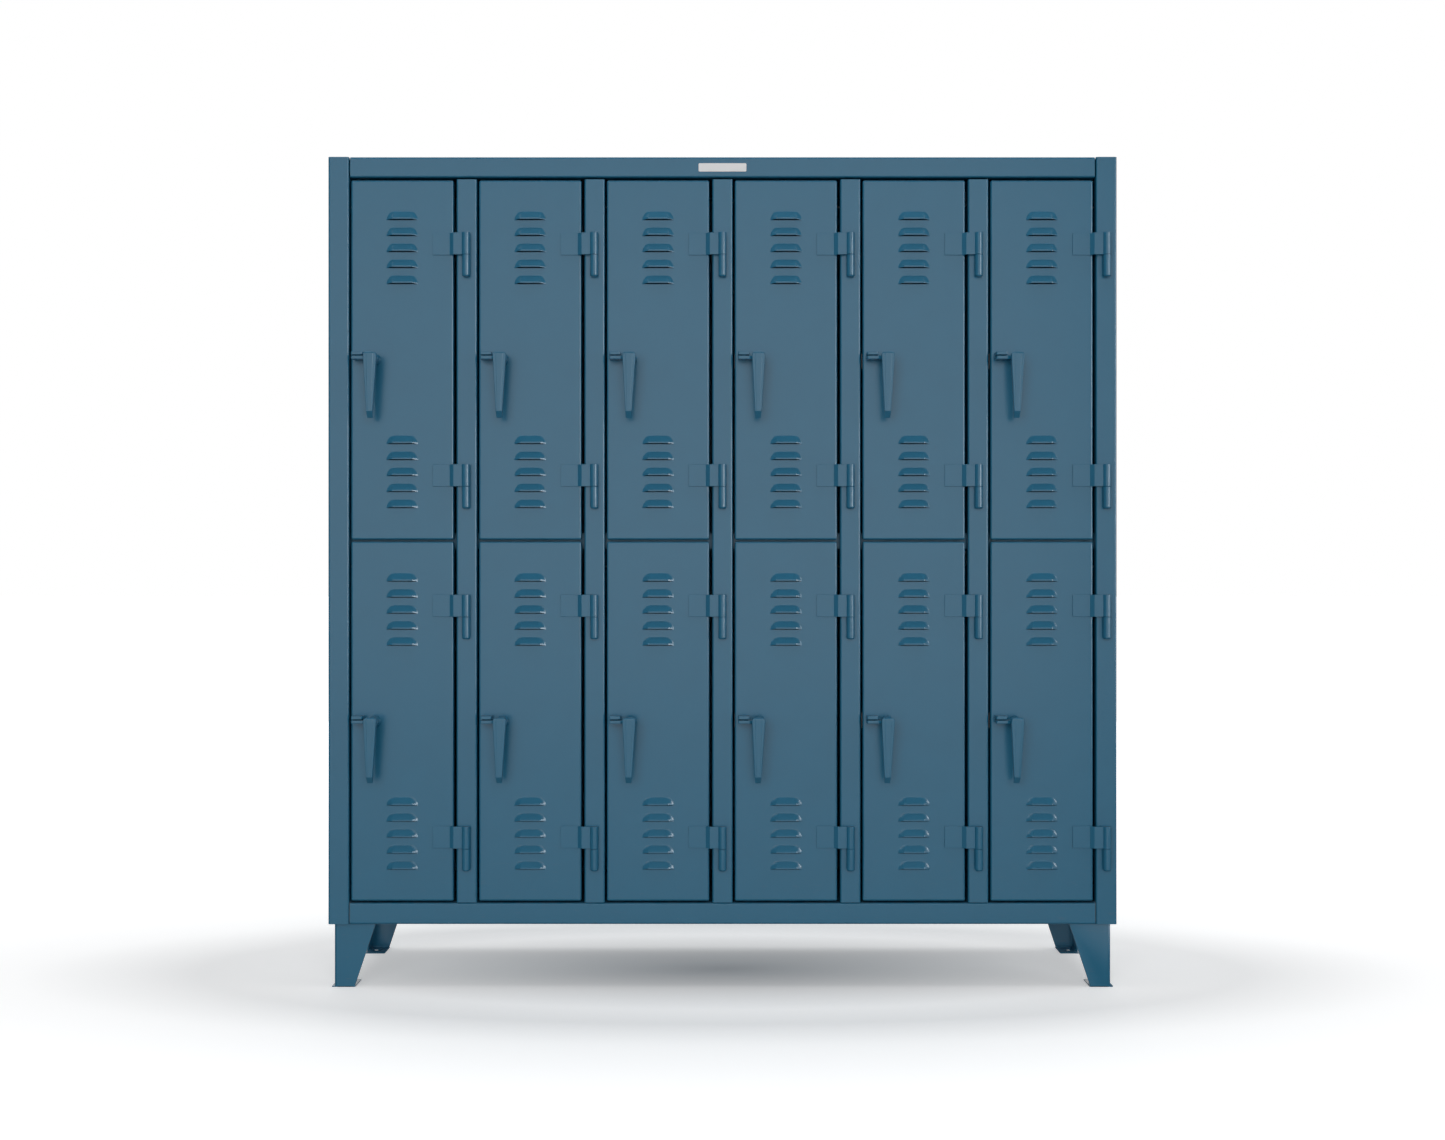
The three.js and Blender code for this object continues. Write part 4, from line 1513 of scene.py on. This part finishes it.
@dataclass
class Handle:
    """The cast lever with its hub and spindle; the origin is on the spindle at the door's face."""

    shop: Workshop
    lug: PadlockLug
    spindle_inset: float
    head_half: float = 15.25 * MM
    head_top: float = 12.25 * MM
    tip_width: float = 13 * MM
    reach: float = 142 * MM
    head_front: float = 59 * MM
    tip_front: float = 57 * MM
    head_thickness: float = 16 * MM
    tip_thickness: float = 15 * MM
    head_shift: float = -1.9 * MM
    tip_shift: float = -3.2 * MM
    hub_radius: float = 14 * MM
    hub_standoff: float = 1.5 * MM
    spindle_radius: float = 6 * MM
    spindle_back: float = 26.1 * MM
    tip_bevel: float = 15 * MM
    tip_cut: float = 12.5 * MM

    def half_width(self, z: float) -> float:
        """Return half the lever's width at a height, with its head nearly square."""
        if z > 0:
            share = min(z / self.head_top, 1.0)
            return self.head_half * (1 - 0.3 * share**6)
        return self.head_half + (self.tip_width / 2 - self.head_half) * -z / self.reach

    def front(self, z: float) -> float:
        """Return the y of the lever's face at a height, before its tip is bevelled."""
        share = (self.head_top - z) / (self.reach + self.head_top)
        face = -self.head_front + (self.head_front - self.tip_front) * share
        bevel = max(self.tip_bevel - self.reach - z, 0.0) / self.tip_bevel
        crown = max(z - self.head_top + 3 * MM, 0.0) / (3 * MM)
        return face + self.tip_cut * bevel + 1.4 * MM * crown**2

    def back(self, z: float) -> float:
        """Return the y of the lever's back at a height."""
        share = (self.head_top - z) / (self.reach + self.head_top)
        thickness = self.head_thickness + (self.tip_thickness - self.head_thickness) * share
        return -self.head_front + (self.head_front - self.tip_front) * share + thickness

    def section(self, z: float) -> list[Vector]:
        """Return the lever's section at a height: chamfered corners and a raised middle panel."""
        w, front, back = self.half_width(z), self.front(z), self.back(z)
        deep = min((back - front) / self.head_thickness, 1.0)
        ridge = w * 0.52
        right = [
            (ridge * 0.92, front),
            (ridge, front + 0.45 * MM * deep),
            (w - 0.9 * MM, front + 0.6 * MM * deep),
            (w, front + 1.7 * MM * deep),
            (w, back - 1.8 * MM * deep),
            (w - 1.8 * MM * deep, back),
        ]
        left = [(-x, y) for x, y in reversed(right)]
        lean = self.head_shift + (self.tip_shift - self.head_shift) * (self.head_top - z) / self.reach
        return [Vector((x + lean, y, z)) for x, y in right + left]

    def lever(self) -> bpy.types.Mesh:
        """Shape the lever from its tip to its head."""
        top = self.head_top
        heights = [-self.reach, -self.reach + 1 * MM, -self.reach + 5 * MM, -self.reach + self.tip_bevel]
        heights += [-self.reach * share for share in (0.75, 0.5, 0.25, 0.1)]
        heights += [0.0, top * 0.45, top * 0.7, top * 0.84, top * 0.94, top]
        return worked(loft([self.section(z) for z in heights]).mesh(), softened(0.5 * MM, 2, 30), crease=30)

    def hub(self) -> bpy.types.Mesh:
        """Turn the hub and the spindle behind it."""
        r, back = self.hub_radius, self.back(0)
        profile = [
            (self.spindle_radius, self.spindle_back),
            (self.spindle_radius, -self.hub_standoff),
            (r - 0.6 * MM, -self.hub_standoff),
            (r, -self.hub_standoff - 0.6 * MM),
            (r, -6 * MM),
            (r - 1.5 * MM, -8 * MM),
            (r - 2.2 * MM, -14 * MM),
            (r - 2.2 * MM, back - 6 * MM),
            (r, back + 4 * MM),
        ]
        return worked(turned(profile, Axis.Y, 48).mesh())

    def build(self) -> None:
        """Build every handle."""
        whole = combined([self.lever(), self.hub(), self.lug.moving(self.spindle_inset)])
        for tier in Tier:
            for column in range(1, COLUMNS + 1):
                name = f"handle_{tier.value}_{column}"
                spindle = JOINT_PLACES[f"{name}_turn"]
                place = (spindle.x, FACE_Y, spindle.z)
                self.shop.fit(f"{name}_casting", copy_at(whole, place), CAST_ENAMEL, name, [name])


@dataclass
class LatchBar:
    """The plated bar on the spindle's inner end, with the nut and washer that hold it."""

    shop: Workshop
    corner: float = 5 * MM
    washer_radius: float = 11 * MM
    washer_height: float = 1.2 * MM
    nut_flat: float = 6.5 * MM
    nut_height: float = 5 * MM

    def build(self) -> None:
        """Build every latch bar."""
        for tier in Tier:
            for column in range(1, COLUMNS + 1):
                self.bar(f"{tier.value}_{column}")

    def bar(self, place: str) -> None:
        """Build the latch bar of one door, named by its tier and column."""
        node = f"latch_bar_{place}"
        low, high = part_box(node)
        spindle = JOINT_PLACES[f"handle_{place}_turn"]
        bar = prism(rectangle((low.x, low.z), (high.x, high.z), self.corner), Axis.Y, low.y, high.y)
        washer = turned([(self.washer_radius, 0), (self.washer_radius, self.washer_height)], Axis.Y)
        outer = self.nut_flat / math.cos(math.pi / 6)
        nut = turned([(outer, self.washer_height), (outer, self.nut_height)], Axis.Y, 6)
        end = (spindle.x, high.y, spindle.z)
        parts = [bar.mesh(), washer.moved(end).mesh(), nut.moved(end).mesh()]
        meshes = [worked(part, softened(0.4 * MM)) for part in parts]
        self.shop.fit(f"{node}_plate", combined(meshes), ZINC_PLATE, f"handle_{place}", [node])


def hang_knuckles(shop: Workshop, hinge: Hinge, door_height: float) -> None:
    """Weld the frame's knuckles to the posts, two for each door.

    Args:
        shop: The workshop.
        hinge: The hinge that they belong to.
        door_height: The height of a door.
    """
    knuckle = hinge.lower_knuckle()
    for column in range(1, COLUMNS + 1):
        places = []
        for tier in Tier:
            axis = JOINT_PLACES[f"door_{tier.value}_{column}_hinge"]
            places += [(axis.x, axis.y, axis.z + height) for height in hinge.leaf_heights(door_height)]
        grown = shop.set_on(knuckle, places, FRAME_ENAMEL)
        shop.fit(f"post_knuckles_{column}", grown, FRAME_ENAMEL)


# ---------------------------------------------------------------- studio


@dataclass
class Studio:
    """The pale floor with its painted glow and painted shadow, the soft lights and the camera."""

    camera_height: float = 0.9967
    camera_distance: float = 4.097
    lens: float = 42.84
    floor_half: float = 60.0
    # The floor's emission is painted light: a painted shadow low under and around the cabinet, and a painted
    # glow that brightens the floor into white further away.
    painted_glow_oval: tuple[float, float] = (2.0, 0.8)
    painted_glow_and_shadow_steps: tuple[tuple[float, float], ...] = (
        (0.0, 0.06),
        (0.5, 0.4),
        (0.65, 0.31),
        (0.87, 0.48),
        (1.5, 0.62),
        (5.0, 1.05),
    )

    def build(self) -> None:
        """Set the camera, the lights, the surroundings and the floor."""
        self.camera()
        upright = math.radians(90)
        self.softbox("front_softbox", (-0.65, -7.5, 2.3), (6.8, 4.6), (upright, 0, 0), 1.27)
        fill = self.softbox("front_fill", (-0.65, -7.6, 2.3), (6.8, 4.6), (upright, 0, 0), 1.2)
        fill.visible_glossy = False
        for name, place, size, turn, brightness in (
            ("sheen_card", (9.5, -10.5, 2.6), (6.0, 5.2), 43, 9.0),
            ("low_card", (-0.65, -7.5, -0.88), (6.8, 1.75), 0, 0.9),
        ):
            card = self.softbox(name, place, size, (upright, 0, math.radians(turn)), brightness)
            card.visible_diffuse = False
        self.softbox("right_softbox", (5.5, -1.5, 1.8), (5.0, 3.6), (upright, 0, upright), 0.75)
        self.softbox("overhead_softbox", (0.0, 0.6, 5.0), (6.0, 4.0), (0, 0, 0), 1.4)
        self.softbox("rear_softbox", (-1.0, 7.0, 2.0), (9.0, 4.0), (-upright, 0, 0), 0.9)
        self.surroundings()
        self.floor()
        bpy.context.scene.view_settings.view_transform = "Standard"

    def camera(self) -> None:
        """Stand the camera level in front of the doors."""
        data = bpy.data.cameras.new("camera")
        data.lens = self.lens
        data.clip_end = 200
        made = bpy.data.objects.new("camera", data)
        made.location = (0, FACE_Y - self.camera_distance, self.camera_height)
        made.rotation_euler = (math.radians(90), 0, 0)
        bpy.context.scene.collection.objects.link(made)
        bpy.context.scene.camera = made

    @staticmethod
    def softbox(
        name: str, place: Sequence[float], size: Sequence[float], turn: Sequence[float], brightness: float
    ) -> bpy.types.Object:
        """Hang one soft light.

        Args:
            name: Its name.
            place: Its middle.
            size: Its width and height.
            turn: Its rotation; unturned it shines down.
            brightness: The brightness of its face, where 1 is paper white.

        Returns:
            The light.
        """
        data = bpy.data.lights.new(name, "AREA")
        data.shape = "RECTANGLE"
        data.size, data.size_y = size
        data.energy = brightness * math.pi * size[0] * size[1]
        made = bpy.data.objects.new(name, data)
        made.location = place
        made.rotation_euler = turn
        made.visible_camera = False
        bpy.context.scene.collection.objects.link(made)
        return made

    @staticmethod
    def surroundings() -> None:
        """Fill the room with even light, and show the camera plain white."""
        world = bpy.data.worlds.new("room")
        bpy.context.scene.world = world
        world.use_nodes = True
        tree = world.node_tree
        tree.nodes.clear()
        seen = wire(tree, "ShaderNodeLightPath", {}).outputs["Is Camera Ray"]
        room = wire(tree, "ShaderNodeBackground", {"Color": (1, 1, 1, 1), "Strength": 0.2})
        paper = wire(tree, "ShaderNodeBackground", {"Color": (1, 1, 1, 1), "Strength": 1.0})
        mix = wire(tree, "ShaderNodeMixShader", {0: seen, 1: room.outputs[0], 2: paper.outputs[0]})
        wire(tree, "ShaderNodeOutputWorld", {"Surface": mix.outputs[0]})

    def floor(self) -> None:
        """Lay the floor, whose emission paints it brighter away from the cabinet and paints part of the
        cabinet's shadow around it.
        """
        s = self.floor_half
        made = bpy.data.meshes.new("floor")
        made.from_pydata([(-s, -s, 0), (s, -s, 0), (s, s, 0), (-s, s, 0)], [], [(0, 1, 2, 3)])
        material = bpy.data.materials.new("floor")
        material.use_nodes = True
        shader = material.node_tree.nodes["Principled BSDF"]
        shader.inputs["Base Color"].default_value = (0.86, 0.87, 0.88, 1)
        shader.inputs["Roughness"].default_value = 1.0
        shader.inputs["Specular IOR Level"].default_value = 0.0
        # Painted light: the floor's emission brightens it away from the cabinet and keeps it dark near it, a
        # painted shadow.
        shader.inputs["Emission Color"].default_value = (1, 1, 1, 1)
        self.paint_floor_glow_and_shadow(material.node_tree, shader.inputs["Emission Strength"])
        made.materials.append(material)
        piece = bpy.data.objects.new("floor", made)
        bpy.context.scene.collection.objects.link(piece)
        piece.visible_diffuse = False
        piece.visible_glossy = False

    def paint_floor_glow_and_shadow(self, tree: bpy.types.NodeTree, glow: bpy.types.NodeSocket) -> None:
        """Paint light and shade into the floor's glow: it glows least under and around the cabinet, a painted
        shadow that adds to the one it really receives, and more with distance, so that it fades into white.

        Args:
            tree: The floor material's tree.
            glow: The socket that takes the strength.
        """
        place = wire(tree, "ShaderNodeTexCoord", {}).outputs["Object"]
        oval = (1 / self.painted_glow_oval[0], 1 / self.painted_glow_oval[1], 1)
        scaled = wire(tree, "ShaderNodeMapping", {"Vector": place, "Scale": oval}).outputs[0]
        reach = wire(tree, "ShaderNodeVectorMath", {0: scaled}, operation="LENGTH").outputs["Value"]
        strength = self.painted_glow_and_shadow_steps[0][1]
        for (start, low), (end, high) in zip(self.painted_glow_and_shadow_steps, self.painted_glow_and_shadow_steps[1:]):
            links = {"Value": reach, "From Min": start, "From Max": end, "To Min": 0.0, "To Max": high - low}
            part = wire(tree, "ShaderNodeMapRange", links).outputs[0]
            strength = wire(tree, "ShaderNodeMath", {0: part, 1: strength}, operation="ADD").outputs[0]
        tree.links.new(strength, glow)


def main() -> None:
    """Build the studio and the locker."""
    logging.basicConfig(level=logging.INFO, format="%(name)s: %(message)s")
    Studio().build()
    shop = Workshop()
    hinge = Hinge()
    low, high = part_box("door_lower_1")
    door_height = high.z - low.z
    door_left, door_right = low.x, JOINT_PLACES["door_lower_1_hinge"].x - hinge.door_offset
    CabinetFrame(shop).build()
    CabinetPanels(shop).build()
    for node in ("front_left_leg", "front_right_leg", "rear_left_leg", "rear_right_leg"):
        Leg(shop, node).build()
    NamePlate(shop).build()
    CoatHooks(shop).build()
    hang_knuckles(shop, hinge, door_height)
    door = Door(shop, hinge, door_right - door_left, door_height)
    door.build()
    Handle(shop, door.lug, door.spindle_inset).build()
    LatchBar(shop).build()


if __name__ == "__main__":
    main()
